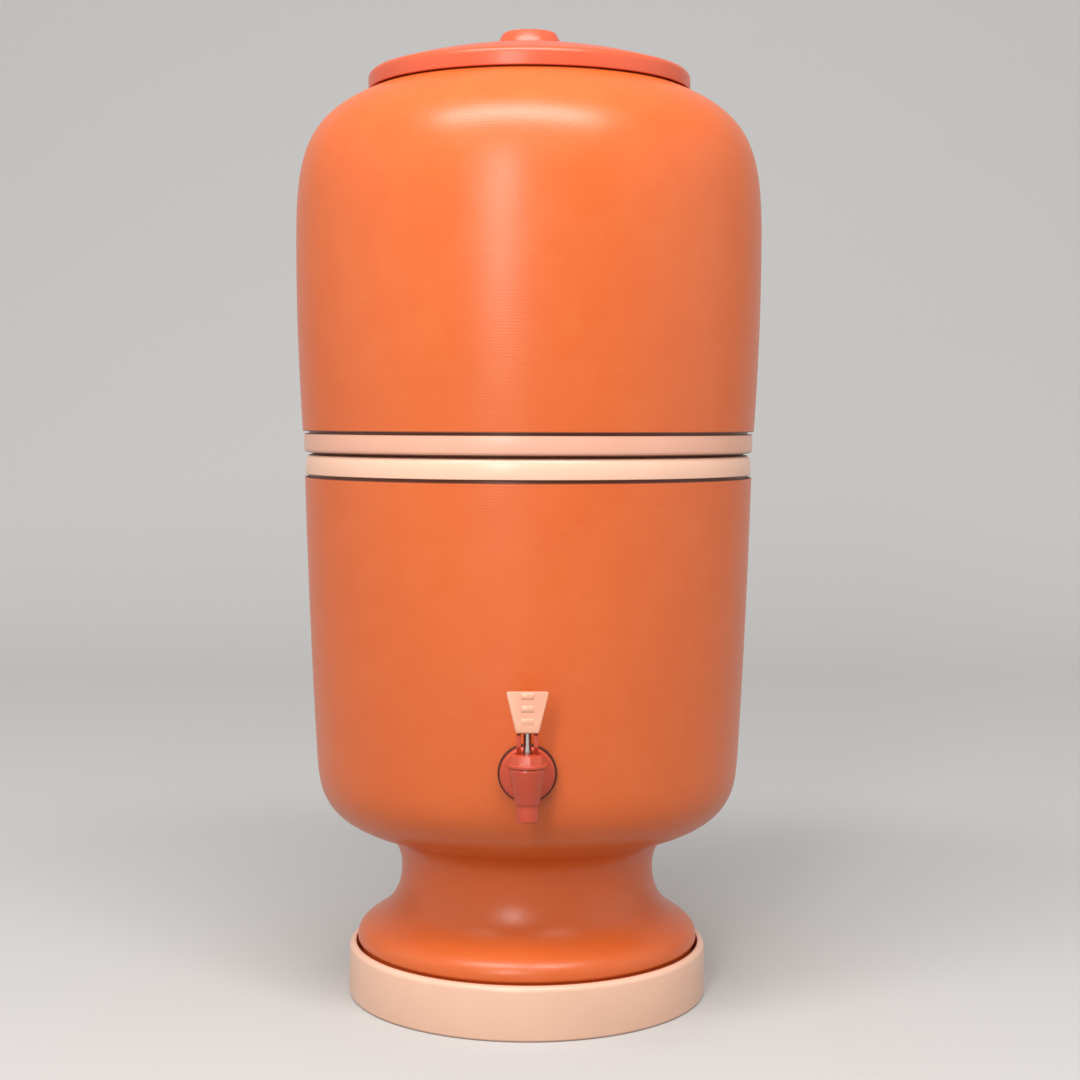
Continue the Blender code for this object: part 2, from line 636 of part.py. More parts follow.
def upper_chamber(finish, carrier):
    """Clay chamber with a round shoulder, a wide mouth and a spigot that nests in the lower one."""
    belly = (BELLY_RADIUS, BELLY_Z)
    top = (SHOULDER_TOP_RADIUS, SHOULDER_TOP_Z)
    edge = (UPPER_BOTTOM_RADIUS, UPPER_EDGE_Z)
    shoulder = curve(top, SHOULDER_TOP_DEG, SHOULDER_PULLS[0], belly, -90, SHOULDER_PULLS[1], 7)
    side = curve(belly, -90, UPPER_SIDE_PULLS[0], edge, UPPER_BOTTOM_DEG, UPPER_SIDE_PULLS[1], 2)
    mouth = rounded([
        (MOUTH_RADIUS, MOUTH_Z - MOUTH_DEPTH, 0),
        (MOUTH_RADIUS, MOUTH_Z, MOUTH_ROUNDING),
        (NECK_RADIUS, MOUTH_Z, MOUTH_ROUNDING),
        (NECK_RADIUS, SHOULDER_TOP_Z + NECK_RISE * 0.4, 0),
        (*top, 0),
    ], closed=False)
    bore_radius = SPIGOT_RADIUS - CLAY_WALL
    step = [
        (UPPER_RIM_RADIUS, UPPER_EDGE_Z),
        (UPPER_RIM_RADIUS, UPPER_STEP_Z),
        (SPIGOT_RADIUS, UPPER_STEP_Z),
    ]
    under = corner_arc(step[-1], (SPIGOT_RADIUS, UPPER_UNDER_Z), (0, UPPER_UNDER_Z), SPIGOT_ROUNDING)
    hole = [(STEM_HOLE_RADIUS, UPPER_UNDER_Z), (STEM_HOLE_RADIUS, UPPER_FLOOR_Z)]
    ledge_z = UPPER_STEP_Z + CLAY_WALL * 0.35
    floor = corner_arc(hole[-1], (bore_radius, UPPER_FLOOR_Z), (bore_radius, ledge_z), UPPER_FLOOR_ROUNDING)
    ledge = [(bore_radius, ledge_z), (UPPER_BOTTOM_RADIUS - CLAY_WALL, ledge_z + STEP_RISE)]
    inner_belly = (BELLY_RADIUS - CLAY_WALL, BELLY_Z)
    inner_deg = UPPER_BOTTOM_DEG + 180
    inner_side = curve(ledge[-1], inner_deg, UPPER_SIDE_PULLS[1], inner_belly, 90, UPPER_SIDE_PULLS[0], 2)
    inner_top = (MOUTH_RADIUS, MOUTH_Z - MOUTH_DEPTH)
    top_deg = SHOULDER_TOP_DEG + 180
    inner_shoulder = curve(inner_belly, 90, SHOULDER_INSIDE_PULLS[0], inner_top, top_deg, SHOULDER_INSIDE_PULLS[1], 5)
    outline = mouth + shoulder + side + step + under + hole + floor + ledge + inner_side + inner_shoulder[:-1]
    add_part("upper_chamber", revolve(outline, POT_FACETS, closed=True), finish, parent=carrier)


def lid(finish, carrier):
    """Moulded plastic lid: shallow dome with a flared knob, a skirt and a spigot that fits the mouth."""
    seat_z = MOUTH_Z + SEAT_GAP
    edge_top = MOUTH_Z + LID_EDGE_RISE + LID_EDGE_ROUNDING
    dome_top = edge_top + LID_DOME_RISE
    skirt_z = MOUTH_Z - LID_SKIRT_DROP
    plate = seat_z + LID_PLATE_RISE - LID_SHELL
    knob_top = dome_top + KNOB_RISE
    knob_foot = KNOB_RADIUS + KNOB_FLARE
    spigot_outer = MOUTH_RADIUS - LID_SPIGOT_CLEARANCE
    spigot_inner = spigot_outer - LID_SPIGOT_WALL
    seat_outer = NECK_RADIUS - MOUTH_ROUNDING
    seat_inner = seat_outer - LID_SEAT_WIDTH
    inner_skirt = LID_RADIUS - LID_SHELL
    dome_radius = LID_RADIUS - LID_EDGE_ROUNDING

    def dome_point(radius, depth):
        """Point of the shallow dome, or below it."""
        return radius, dome_top - LID_DOME_RISE * (radius / dome_radius) ** 2 - depth

    knob = rounded([
        (0, knob_top, 0),
        (KNOB_RADIUS, knob_top - KNOB_CROWN, KNOB_ROUNDING),
        (knob_foot, dome_top + KNOB_FILLET, 0),
    ], closed=False)
    fillet = curve(knob[-1], -65, 0.35, dome_point(knob_foot + KNOB_FILLET, 0), -3.5, 0.45, 3)
    dome = [dome_point(dome_radius * share, 0) for share in (0.42, 0.58, 0.74, 0.88)]
    edge_corner = (LID_RADIUS, edge_top - LID_EDGE_FALL)
    edge = corner_arc(dome[-1], edge_corner, (LID_RADIUS, skirt_z), LID_EDGE_ROUNDING)
    skirt = rounded([
        (LID_RADIUS, skirt_z, 0),
        (inner_skirt, skirt_z, 0),
        (inner_skirt, plate, 0.0015),
        (seat_outer, plate, 0),
        (seat_outer, seat_z, 0),
        (seat_inner, seat_z, 0),
        (seat_inner, plate, 0),
        (spigot_outer, plate, 0),
        (spigot_outer, seat_z - LID_SPIGOT_DEPTH, 0.0008),
        (spigot_inner, seat_z - LID_SPIGOT_DEPTH, 0),
    ], closed=False)
    inner_foot = knob_foot - LID_SHELL * 0.5
    inner_dome = [dome_point(radius, LID_SHELL) for radius in (spigot_inner, spigot_inner * 0.67, inner_foot)]
    hollow = [(KNOB_RADIUS - LID_SHELL, knob_top - KNOB_CROWN - LID_SHELL), (0, knob_top - LID_SHELL)]
    outline = knob + fillet + dome + edge + skirt + inner_dome + hollow
    add_part("lid", revolve(outline, POT_FACETS, closed=False), finish, parent=carrier)


def candle(plastic, ceramic, carbon, rubber, carrier):
    """Filter candle: ceramic dome on a plastic foot whose threaded stem passes through the floor."""
    plate_top = CANDLE_BASE_Z + CANDLE_BASE_FLOOR
    cup_inner = CANDLE_RADIUS + SEAT_GAP
    cup_outer = cup_inner + CANDLE_BASE_WALL
    cup_top = CANDLE_BASE_Z + CANDLE_BASE_HEIGHT
    foot = rounded([
        (STEM_BORE_RADIUS, STEM_END_Z, 0),
        (STEM_RADIUS, STEM_END_Z, 0.0008),
        (STEM_RADIUS, CANDLE_BASE_Z, 0),
        (cup_outer, CANDLE_BASE_Z, 0.0015),
        (cup_outer, cup_top, 0.0008),
        (cup_inner, cup_top, 0),
        (cup_inner, plate_top, 0),
        (STEM_BORE_RADIUS, plate_top, 0),
    ])
    add_part("candle_base", revolve(foot, TURNED_FACETS, closed=True), plastic, parent=carrier)

    inner = CANDLE_RADIUS - CANDLE_WALL
    dome_z = CANDLE_SEAT_Z + CANDLE_SIDE
    inner_top = (0, dome_z + inner)
    outer_top = (0, dome_z + CANDLE_RADIUS)
    inner_dome = [polar(inner, 90 - 22.5 * step) for step in range(1, 5)]
    outer_dome = [polar(CANDLE_RADIUS, 22.5 * step) for step in range(4)]
    shell = [inner_top]
    shell += [(r, dome_z + z) for r, z in inner_dome]
    shell += [(inner, CANDLE_SEAT_Z), (CANDLE_RADIUS, CANDLE_SEAT_Z)]
    shell += [(r, dome_z + z) for r, z in outer_dome]
    shell.append(outer_top)
    add_part("candle_shell", revolve(shell, TURNED_FACETS, closed=False), ceramic, parent=carrier)

    pack_radius = inner - 2 * SEAT_GAP
    pack_top = CANDLE_SEAT_Z + CORE_HEIGHT
    pack = rounded([
        (0, CANDLE_SEAT_Z, 0),
        (pack_radius, CANDLE_SEAT_Z, 0),
        (pack_radius, pack_top, 0.004),
        (0, pack_top, 0),
    ], closed=False)
    add_part("candle_core", revolve(pack, SMALL_FACETS, closed=False), carbon, parent=carrier)

    washers = [
        ("candle_washer", UPPER_FLOOR_Z + SEAT_GAP, CANDLE_WASHER_THICKNESS, CANDLE_WASHER_RADIUS),
        ("candle_lower_washer", LOWER_WASHER_Z, LOWER_WASHER_THICKNESS, LOWER_WASHER_RADIUS),
    ]
    for name, low, thickness, radius in washers:
        section = [
            (STEM_CLEARANCE_RADIUS, low),
            (radius, low),
            (radius, low + thickness),
            (STEM_CLEARANCE_RADIUS, low + thickness),
        ]
        add_part(name, revolve(section, SMALL_FACETS, closed=True), rubber, parent=carrier)


def candle_wing_nut(finish, carrier):
    """Wing nut that draws the candle down on the floor."""
    part = add_part("candle_wing_nut", cylinder(WING_NUT_RADIUS, 0, WING_NUT_HEIGHT, SMALL_FACETS), finish,
                    location=(0, 0, WING_NUT_Z), parent=carrier)
    root = WING_NUT_RADIUS * 0.6
    wing = rounded([
        (root, 0.002, 0),
        (WING_SPAN - 0.004, 0.001, 0.002),
        (WING_SPAN, WING_NUT_HEIGHT - 0.001, 0.003),
        (WING_SPAN - 0.006, WING_NUT_HEIGHT - 0.0005, 0.002),
        (root, WING_NUT_HEIGHT - 0.004, 0),
    ])
    half = WING_THICKNESS / 2
    for side in (0, 180):
        reshape(part, turned(prism(wing, -half, half, "XZ"), side, "Z"), "UNION")
    bore = cylinder(STEM_CLEARANCE_RADIUS, -0.001, WING_NUT_HEIGHT + 0.001, SMALL_FACETS)
    reshape(part, bore, "DIFFERENCE")


def float_valve_body(finish, carrier):
    """Valve cap screwed on the candle's stem, with a nozzle below and two lugs for the arm."""
    outline = [
        (NOZZLE_BORE_RADIUS, VALVE_SOCKET_Z),
        (STEM_CLEARANCE_RADIUS, VALVE_SOCKET_Z),
        (STEM_CLEARANCE_RADIUS, VALVE_TOP_Z),
        (VALVE_RADIUS, VALVE_TOP_Z),
        (VALVE_RADIUS, VALVE_CONE_Z),
        (NOZZLE_RADIUS * 1.8, NOZZLE_Z + NOZZLE_LENGTH),
        (NOZZLE_RADIUS, NOZZLE_Z + NOZZLE_LENGTH),
        (NOZZLE_RADIUS, NOZZLE_Z),
        (NOZZLE_BORE_RADIUS, NOZZLE_Z),
    ]
    hinge = Vector((-HINGE_REACH, 0, HINGE_Z))
    shape = moved(revolve(outline, SMALL_FACETS, closed=True), -hinge)
    part = add_part("float_valve_body", shape, finish, location=hinge, parent=carrier)
    inner = ARM_WIDTH / 2 + RUNNING_GAP
    body_foot = VALVE_CONE_Z - HINGE_Z
    body_top = VALVE_TOP_Z - HINGE_Z - LUG_TOP_DROP
    tail = -ARM_TAIL - LUG_TAIL_MARGIN
    lug = rounded([
        (HINGE_REACH - LUG_ROOT, body_top, 0),
        (LUG_TOP_BACK, body_top, LUG_ROUNDING),
        (tail, LUG_TAIL_TOP, LUG_ROUNDING / 2),
        (tail, LUG_TAIL_FOOT, LUG_ROUNDING / 2),
        (-LUG_HALF_FOOT, -LUG_HALF_FOOT, LUG_ROUNDING),
        (LUG_HALF_FOOT, -LUG_HALF_FOOT, LUG_ROUNDING),
        (HINGE_REACH - VALVE_RADIUS * 0.5, body_foot, 0),
        (HINGE_REACH - LUG_ROOT, body_foot, 0),
    ])
    pin_hole = cylinder(HINGE_PIN_RADIUS + SEAT_GAP, -HINGE_REACH, HINGE_REACH, PIN_FACETS)
    for low in (inner, -inner - VALVE_LUG_THICKNESS):
        reshape(part, prism(lug, low, low + VALVE_LUG_THICKNESS, "XZ"), "UNION")
    stop_back = -ARM_TAIL - LUG_TAIL_MARGIN / 2
    stop = [(stop_back, STOP_FOOT), (-STOP_FRONT, STOP_FOOT), (-STOP_FRONT, STOP_TOP), (stop_back, STOP_TOP)]
    web = inner + VALVE_LUG_THICKNESS / 2
    reshape(part, prism(stop, -web, web, "XZ"), "UNION")
    reshape(part, turned(pin_hole, 90, "X"), "DIFFERENCE")

    half = inner + VALVE_LUG_THICKNESS + RUNNING_GAP
    pin = turned(cylinder(HINGE_PIN_RADIUS, -half, half, PIN_FACETS), 90, "X")
    add_part("float_hinge_pin", pin, make_finish("pin_steel", (0.62, 0.62, 0.60), 0.3, 1.0), location=hinge,
             parent=carrier)


def float_arm(finish, rubber, pivot):
    """Arm that hangs from the valve's pin, with the pad that closes the nozzle. Drawn level, hung by its pivot."""
    half = ARM_WIDTH / 2
    under = ARM_TOP_RISE - ARM_THICKNESS
    bar = [
        (-ARM_TAIL, -ARM_TAIL_DROP),
        (ARM_LENGTH, under),
        (ARM_LENGTH, ARM_TOP_RISE),
        (-ARM_TAIL, ARM_TOP_RISE),
    ]
    bar_half = half - SEAT_GAP
    part = add_part("float_arm", prism(bar, -bar_half, bar_half, "XZ"), finish, parent=pivot)
    hub = turned(cylinder(ARM_HUB_RADIUS, -half, half, SMALL_FACETS), 90, "X")
    reshape(part, hub, "UNION")
    eye = cylinder(ARM_EYE_RADIUS, under - EYE_PROUD, ARM_TOP_RISE + EYE_PROUD, SMALL_FACETS)
    reshape(part, moved(eye, (ARM_LENGTH, 0, 0)), "UNION")
    pin_hole = turned(cylinder(HINGE_PIN_RADIUS + SEAT_GAP, -2 * half, 2 * half, PIN_FACETS), 90, "X")
    reshape(part, pin_hole, "DIFFERENCE")
    neck_hole = cylinder(FLOAT_NECK_RADIUS + SEAT_GAP, under - CUT_MARGIN, ARM_TOP_RISE + CUT_MARGIN, SMALL_FACETS)
    reshape(part, moved(neck_hole, (ARM_LENGTH, 0, 0)), "DIFFERENCE")
    pocket_floor = ARM_TOP_RISE - SEAL_POCKET_DEPTH
    seal_width = SEAL_RADIUS * 2 + 2 * SEAT_GAP
    pocket = [
        (HINGE_REACH - seal_width / 2, pocket_floor),
        (HINGE_REACH + seal_width / 2, pocket_floor),
        (HINGE_REACH + seal_width / 2, ARM_TOP_RISE + CUT_MARGIN),
        (HINGE_REACH - seal_width / 2, ARM_TOP_RISE + CUT_MARGIN),
    ]
    reshape(part, prism(pocket, -2 * half, 2 * half, "XZ"), "DIFFERENCE")
    seat = pocket_floor + SEAT_GAP
    seal = moved(cylinder(SEAL_RADIUS, seat, seat + SEAL_THICKNESS, SMALL_FACETS), (HINGE_REACH, 0, 0))
    add_part("float_seal", seal, rubber, parent=pivot)


def float_halves(finish, pivot):
    """Hollow float in two halves: a cap whose neck snaps into the arm's eye, and a cup that laps inside it."""
    top = ARM_TOP_RISE - ARM_THICKNESS - SEAT_GAP
    cap_side = top - FLOAT_DOME_RISE
    rim = cap_side - FLOAT_CAP_SIDE
    bead_z = ARM_TOP_RISE + SEAT_GAP
    inner = FLOAT_RADIUS - FLOAT_WALL
    shoulder = FLOAT_RADIUS * 0.45
    cap = [
        (0, bead_z + FLOAT_BEAD_RISE),
        (FLOAT_NECK_RADIUS - FLOAT_BEAD_TAPER, bead_z + FLOAT_BEAD_RISE),
        (FLOAT_NECK_RADIUS + FLOAT_BEAD, bead_z + FLOAT_BEAD_EDGE),
        (FLOAT_NECK_RADIUS + FLOAT_BEAD, bead_z),
        (FLOAT_NECK_RADIUS, bead_z),
        (FLOAT_NECK_RADIUS, top),
        (shoulder, top),
    ]
    slope = FLOAT_CAP_SLOPE_DEG
    cap += curve((shoulder, top), slope, FLOAT_CAP_PULLS[0], (FLOAT_RADIUS, cap_side), -90, FLOAT_CAP_PULLS[1], 3)
    cap += [(FLOAT_RADIUS, rim), (inner, rim)]
    inside_top = (shoulder, top - FLOAT_WALL)
    cap += curve((inner, rim), 90, FLOAT_CAP_INSIDE_PULLS[0], inside_top, slope + 180, FLOAT_CAP_INSIDE_PULLS[1], 3)
    cap.append((0, top - FLOAT_WALL))
    add_part("float_cap", revolve(cap, SMALL_FACETS, closed=False), finish,
             location=(ARM_LENGTH, 0, 0), parent=pivot)

    lap_outer = inner - 2 * SEAT_GAP
    lap_inner = lap_outer - FLOAT_WALL
    side_foot = rim - FLOAT_CUP_SIDE
    bottom = side_foot - FLOAT_DOME_RISE
    cup = [(0, bottom + FLOAT_WALL)]
    leave, arrive = FLOAT_DOME_PULLS
    inside = curve((lap_inner, side_foot), -90, leave, (0, bottom + FLOAT_WALL), 180, arrive, 3)
    cup += inside[::-1][1:]
    cup += [
        (lap_inner, side_foot),
        (lap_inner, rim + FLOAT_LAP),
        (lap_outer, rim + FLOAT_LAP),
        (lap_outer, rim - SEAT_GAP),
        (FLOAT_RADIUS, rim - SEAT_GAP),
        (FLOAT_RADIUS, side_foot),
    ]
    cup += curve((FLOAT_RADIUS, side_foot), -90, leave, (0, bottom), 180, arrive, 3)
    add_part("float_cup", revolve(cup, SMALL_FACETS, closed=False), finish,
             location=(ARM_LENGTH, 0, 0), parent=pivot)


def tap_origin():
    """Where the tap's upright axis meets its shank's axis."""
    wall = radius_at(lower_wall_outside(), TAP_Z)
    return Vector((0, -wall - TAP_REACH, TAP_Z))


def clay_band():
    """The clay wall at the tap, thicker by the seat gap on both faces."""
    outside = [(r + SEAT_GAP, z) for r, z in lower_wall_outside()]
    inside = [(r - SEAT_GAP, z) for r, z in lower_wall_inside()]
    return revolve(outside + inside[::-1], POT_FACETS, closed=True)


def tap_body(finish):
    """Tap body: threaded shank, flange and cup with a conical seat over the spout."""
    spout_tip = -CUP_FOOT_DROP - SPOUT_LENGTH
    cup = rounded([
        (0, spout_tip, 0),
        (SPOUT_RADIUS, spout_tip, 0.0008),
        (SPOUT_RADIUS - 0.0002, -CUP_FOOT_DROP - 0.0004, 0),
        (CUP_FOOT_RADIUS, -CUP_FOOT_DROP, 0),
        (CUP_SHOULDER_RADIUS, CUP_SHOULDER_RISE - 0.0012, 0),
        (CUP_SHOULDER_RADIUS - 0.0004, CUP_SHOULDER_RISE, 0),
        (CUP_NECK_RADIUS, CUP_SHOULDER_RISE, 0),
        (CUP_NECK_RADIUS, CUP_NECK_TOP, 0),
        (0, CUP_NECK_TOP, 0),
    ], closed=False)
    part = add_part("tap_body", revolve(cup, TURNED_FACETS, closed=False), finish, location=tap_origin())
    flange_back = TAP_REACH - FLANGE_WASHER_THICKNESS - SEAT_GAP
    flange_front = flange_back - FLANGE_THICKNESS
    shank_end = TAP_REACH + CLAY_WALL + INNER_WASHER_THICKNESS + TAP_NUT_THICKNESS + SHANK_TAIL
    shank = rounded([
        (0, 0, 0),
        (TAP_NECK_RADIUS, 0, 0),
        (TAP_NECK_RADIUS, flange_front, 0.0008),
        (FLANGE_RADIUS, flange_front, 0.0010),
        (FLANGE_RADIUS, flange_back, 0),
        (SHANK_RADIUS, flange_back, 0),
        (SHANK_RADIUS, shank_end, 0.0010),
        (0, shank_end, 0),
    ], closed=False)
    reshape(part, turned(revolve(shank, TURNED_FACETS, closed=False), -90, "X"), "UNION")
    cavity = [
        (0, spout_tip - 0.001),
        (SPOUT_BORE_RADIUS, spout_tip - 0.001),
        (VALVE_SEAT_RADIUS, SEAT_BOTTOM),
        (CUP_BORE_RADIUS, SEAT_TOP),
        (CUP_BORE_RADIUS, CUP_NECK_TOP + 0.001),
        (0, CUP_NECK_TOP + 0.001),
    ]
    reshape(part, revolve(cavity, SMALL_FACETS, closed=False), "DIFFERENCE")
    bore = cylinder(SHANK_BORE_RADIUS, CUP_BORE_RADIUS * 0.5, shank_end + 0.001, SMALL_FACETS)
    reshape(part, turned(bore, -90, "X"), "DIFFERENCE")


def tap_clamp(plastic, rubber):
    """Washers on both faces of the clay wall, each shaped to it, and the hexagon nut inside."""
    origin = tap_origin()
    outer_face = TAP_REACH - FLANGE_WASHER_THICKNESS
    inner_wall = TAP_REACH + CLAY_WALL
    inner_face = inner_wall + INNER_WASHER_THICKNESS
    washers = [
        ("tap_flange_washer", FLANGE_WASHER_RADIUS, outer_face, inner_wall - CLAY_WALL / 2),
        ("tap_inner_washer", INNER_WASHER_RADIUS, inner_wall - CLAY_WALL / 2, inner_face),
    ]
    for name, radius, low, high in washers:
        section = [(WASHER_HOLE_RADIUS, low), (radius, low), (radius, high), (WASHER_HOLE_RADIUS, high)]
        disc = turned(revolve(section, TURNED_FACETS, closed=True), -90, "X")
        part = add_part(name, disc, rubber, location=origin)
        reshape(part, clay_band(), "DIFFERENCE", shared=True)

    nut_face = inner_face + SEAT_GAP
    hexagon = [polar(TAP_NUT_RADIUS, 60 * index) for index in range(6)]
    nut = turned(prism(hexagon, nut_face, nut_face + TAP_NUT_THICKNESS, "XY"), -90, "X")
    part = add_part("tap_nut", nut, plastic, location=origin)
    bore = cylinder(WASHER_HOLE_RADIUS, nut_face - 0.001, nut_face + TAP_NUT_THICKNESS + 0.001, SMALL_FACETS)
    reshape(part, turned(bore, -90, "X"), "DIFFERENCE")


def tap_bonnet(plastic, rubber):
    """Gasket, stem guide with its two ears, and the faceted ring that holds them on the cup."""
    origin = tap_origin()
    gasket = [
        (CUP_BORE_RADIUS, CUP_NECK_TOP + SEAT_GAP),
        (CUP_NECK_RADIUS, CUP_NECK_TOP + SEAT_GAP),
        (CUP_NECK_RADIUS, CUP_NECK_TOP + SEAT_GAP + GASKET_THICKNESS),
        (CUP_BORE_RADIUS, CUP_NECK_TOP + SEAT_GAP + GASKET_THICKNESS),
    ]
    add_part("tap_bonnet_gasket", revolve(gasket, TURNED_FACETS, closed=True), rubber, location=origin)

    disc = [
        (0, GUIDE_UNDER),
        (CUP_NECK_RADIUS, GUIDE_UNDER),
        (CUP_NECK_RADIUS, GUIDE_TOP),
        (GUIDE_NECK_RADIUS, GUIDE_TOP),
        (GUIDE_NECK_RADIUS, BONNET_TOP),
        (0, BONNET_TOP),
    ]
    part = add_part("tap_stem_guide", revolve(disc, TURNED_FACETS, closed=False), plastic, location=origin)
    root = EAR_ROOT_DEPTH / 2
    flare = BONNET_TOP + RUNNING_GAP
    ear = rounded([
        (-root, GUIDE_TOP, 0),
        (-root, flare, 0),
        (-EAR_FRONT_REACH, flare + EAR_FLARE_RISE, 0.001),
        (-EAR_FRONT_REACH, EAR_TOP, 0),
        (EAR_BACK_REACH, EAR_TOP, 0),
        (EAR_BACK_REACH, flare + EAR_FLARE_RISE, 0.001),
        (root, flare, 0),
        (root, GUIDE_TOP, 0),
    ])
    for low in (EAR_GAP / 2, -EAR_GAP / 2 - EAR_THICKNESS):
        reshape(part, prism(ear, low, low + EAR_THICKNESS, "YZ"), "UNION")
    bore = cylinder(ROD_BORE_RADIUS, GUIDE_UNDER - 0.001, BONNET_TOP + 0.001, SMALL_FACETS)
    reshape(part, bore, "DIFFERENCE")

    lip_under = CUP_SHOULDER_RISE + SEAT_GAP
    lip_top = lip_under + BONNET_LIP_HEIGHT
    lip = rounded([
        (0, lip_under, 0),
        (BONNET_LIP_RADIUS, lip_under, 0.0004),
        (BONNET_LIP_RADIUS, lip_top, 0.0006),
        (0, lip_top, 0),
    ], closed=False)
    ring = add_part("tap_bonnet_ring", revolve(lip, TURNED_FACETS, closed=False), plastic, location=origin)
    flats = bmesh.new()
    flank_low = lip_top - BONNET_LIP_HEIGHT / 3
    flank = BONNET_TOP - flank_low
    bmesh.ops.create_cone(
        flats, cap_ends=True, segments=BONNET_FLAT_COUNT, radius1=BONNET_LIP_RADIUS - 0.0003,
        radius2=BONNET_TOP_RADIUS, depth=flank
    )
    flats = turned(flats, 90 + 180 / BONNET_FLAT_COUNT, "Z")
    reshape(ring, moved(flats, (0, 0, flank_low + flank / 2)), "UNION")
    bore = [
        (0, lip_under - 0.001),
        (CUP_NECK_RADIUS + THREAD_CLEARANCE, lip_under - 0.001),
        (CUP_NECK_RADIUS + THREAD_CLEARANCE, GUIDE_TOP + SEAT_GAP),
        (GUIDE_NECK_RADIUS + GUIDE_NECK_CLEARANCE, GUIDE_TOP + SEAT_GAP),
        (GUIDE_NECK_RADIUS + GUIDE_NECK_CLEARANCE, BONNET_TOP + 0.001),
        (0, BONNET_TOP + 0.001),
    ]
    reshape(ring, revolve(bore, TURNED_FACETS, closed=False), "DIFFERENCE")


def tap_valve(steel, rubber, pivot):
    """Rod with its eye, the plug on its lower end and the pin through its eye. The pivot is the pin's axis."""
    plug_top = PLUG_TOP - LEVER_PIN_RISE
    seat_top = SEAT_TOP - LEVER_PIN_RISE
    seat_bottom = SEAT_BOTTOM - LEVER_PIN_RISE
    slope = VALVE_SEAT_DROP / (CUP_BORE_RADIUS - VALVE_SEAT_RADIUS)
    lift = SEAT_GAP * math.sqrt(1 + slope * slope)
    cone_top = seat_top - (CUP_BORE_RADIUS - PLUG_RADIUS) * slope + lift
    socket = plug_top - ROD_SOCKET_DEPTH
    socket_radius = ROD_RADIUS + SEAT_GAP
    plug = [
        (0, seat_bottom + lift),
        (VALVE_SEAT_RADIUS, seat_bottom + lift),
        (PLUG_RADIUS, cone_top),
        (PLUG_RADIUS, plug_top),
        (socket_radius, plug_top),
        (socket_radius, socket),
        (0, socket),
    ]
    add_part("tap_valve_plug", revolve(plug, SMALL_FACETS, closed=False), rubber, parent=pivot)

    rod = rounded([
        (0, socket + SEAT_GAP, 0),
        (ROD_RADIUS, socket + SEAT_GAP, 0.0004),
        (ROD_RADIUS, ROD_RADIUS * 0.5, 0),
        (0, ROD_RADIUS * 0.5, 0),
    ], closed=False)
    part = add_part("tap_stem", revolve(rod, SMALL_FACETS, closed=False), steel, parent=pivot)
    eye = cylinder(ROD_EYE_RADIUS, -ROD_EYE_HALF_WIDTH, ROD_EYE_HALF_WIDTH, SMALL_FACETS)
    reshape(part, turned(eye, 90, "Y"), "UNION")
    eye_hole = cylinder(LEVER_PIN_RADIUS + SEAT_GAP, -2 * ROD_RADIUS, 2 * ROD_RADIUS, PIN_FACETS)
    reshape(part, turned(eye_hole, 90, "Y"), "DIFFERENCE")

    half = LEVER_BOTTOM_WIDTH / 2 - LEVER_PIN_INSET
    pin = turned(cylinder(LEVER_PIN_RADIUS, -half, half, PIN_FACETS), 90, "Y")
    add_part("tap_lever_pin", pin, steel, parent=pivot)


def spring_points(low, high):
    """Centre line of the coil: slow end turns, so that both ends sit nearly square, and even turns between."""
    count = round(SPRING_TURNS * SPRING_POINTS_PER_TURN)
    end_rise = SPRING_END_TURNS * SPRING_END_PITCH
    middle_turns = SPRING_TURNS - 2 * SPRING_END_TURNS
    middle_pitch = (high - low - 2 * end_rise) / middle_turns
    points = []
    for index in range(count + 1):
        turns = SPRING_TURNS * index / count
        first = min(turns, SPRING_END_TURNS) * SPRING_END_PITCH
        middle = min(max(turns - SPRING_END_TURNS, 0), middle_turns) * middle_pitch
        last = max(turns - SPRING_TURNS + SPRING_END_TURNS, 0) * SPRING_END_PITCH
        x, y = polar(SPRING_COIL_RADIUS, 360 * turns)
        points.append((x, y, low + first + middle + last))
    return points


def least_turn_gap(points):
    """Least free space between turns of the coil, from points at least half a turn apart."""
    skip = SPRING_POINTS_PER_TURN // 2
    spans = []
    for index, point in enumerate(points):
        for other in points[index + skip:]:
            spans.append(math.dist(point, other))
    return min(spans) - 2 * SPRING_WIRE_RADIUS


def tap_spring(steel):
    """Coil between the guide and the plug."""
    low = PLUG_TOP + SEAT_GAP + SPRING_WIRE_RADIUS
    high = GUIDE_UNDER - SEAT_GAP - SPRING_WIRE_RADIUS
    points = spring_points(low, high)
    print(f"tap_spring least gap between turns: {least_turn_gap(points) * 1000:.2f} mm")
    wire = bpy.data.curves.new("tap_spring", "CURVE")
    wire.dimensions = "3D"
    wire.bevel_depth = SPRING_WIRE_RADIUS
    wire.bevel_resolution = 1
    wire.use_fill_caps = True
    run = wire.splines.new("POLY")
    run.points.add(len(points) - 1)
    for spot, point in zip(run.points, points):
        spot.co = (*point, 1.0)
    wire.materials.append(steel)
    part = bpy.data.objects.new("tap_spring", wire)
    bpy.context.scene.collection.objects.link(part)
    part.location = tap_origin()


def cam_point(degrees):
    """Point of the cam where its lift has grown in step with the tilt: an involute, as (forward, up)."""
    angle = math.radians(degrees)
    reach = CAM_BASE_RADIUS + CAM_LIFT_PER_RADIAN * angle
    forward = reach * math.sin(angle) + CAM_LIFT_PER_RADIAN * math.cos(angle)
    up = -reach * math.cos(angle) + CAM_LIFT_PER_RADIAN * math.sin(angle)
    return forward, up


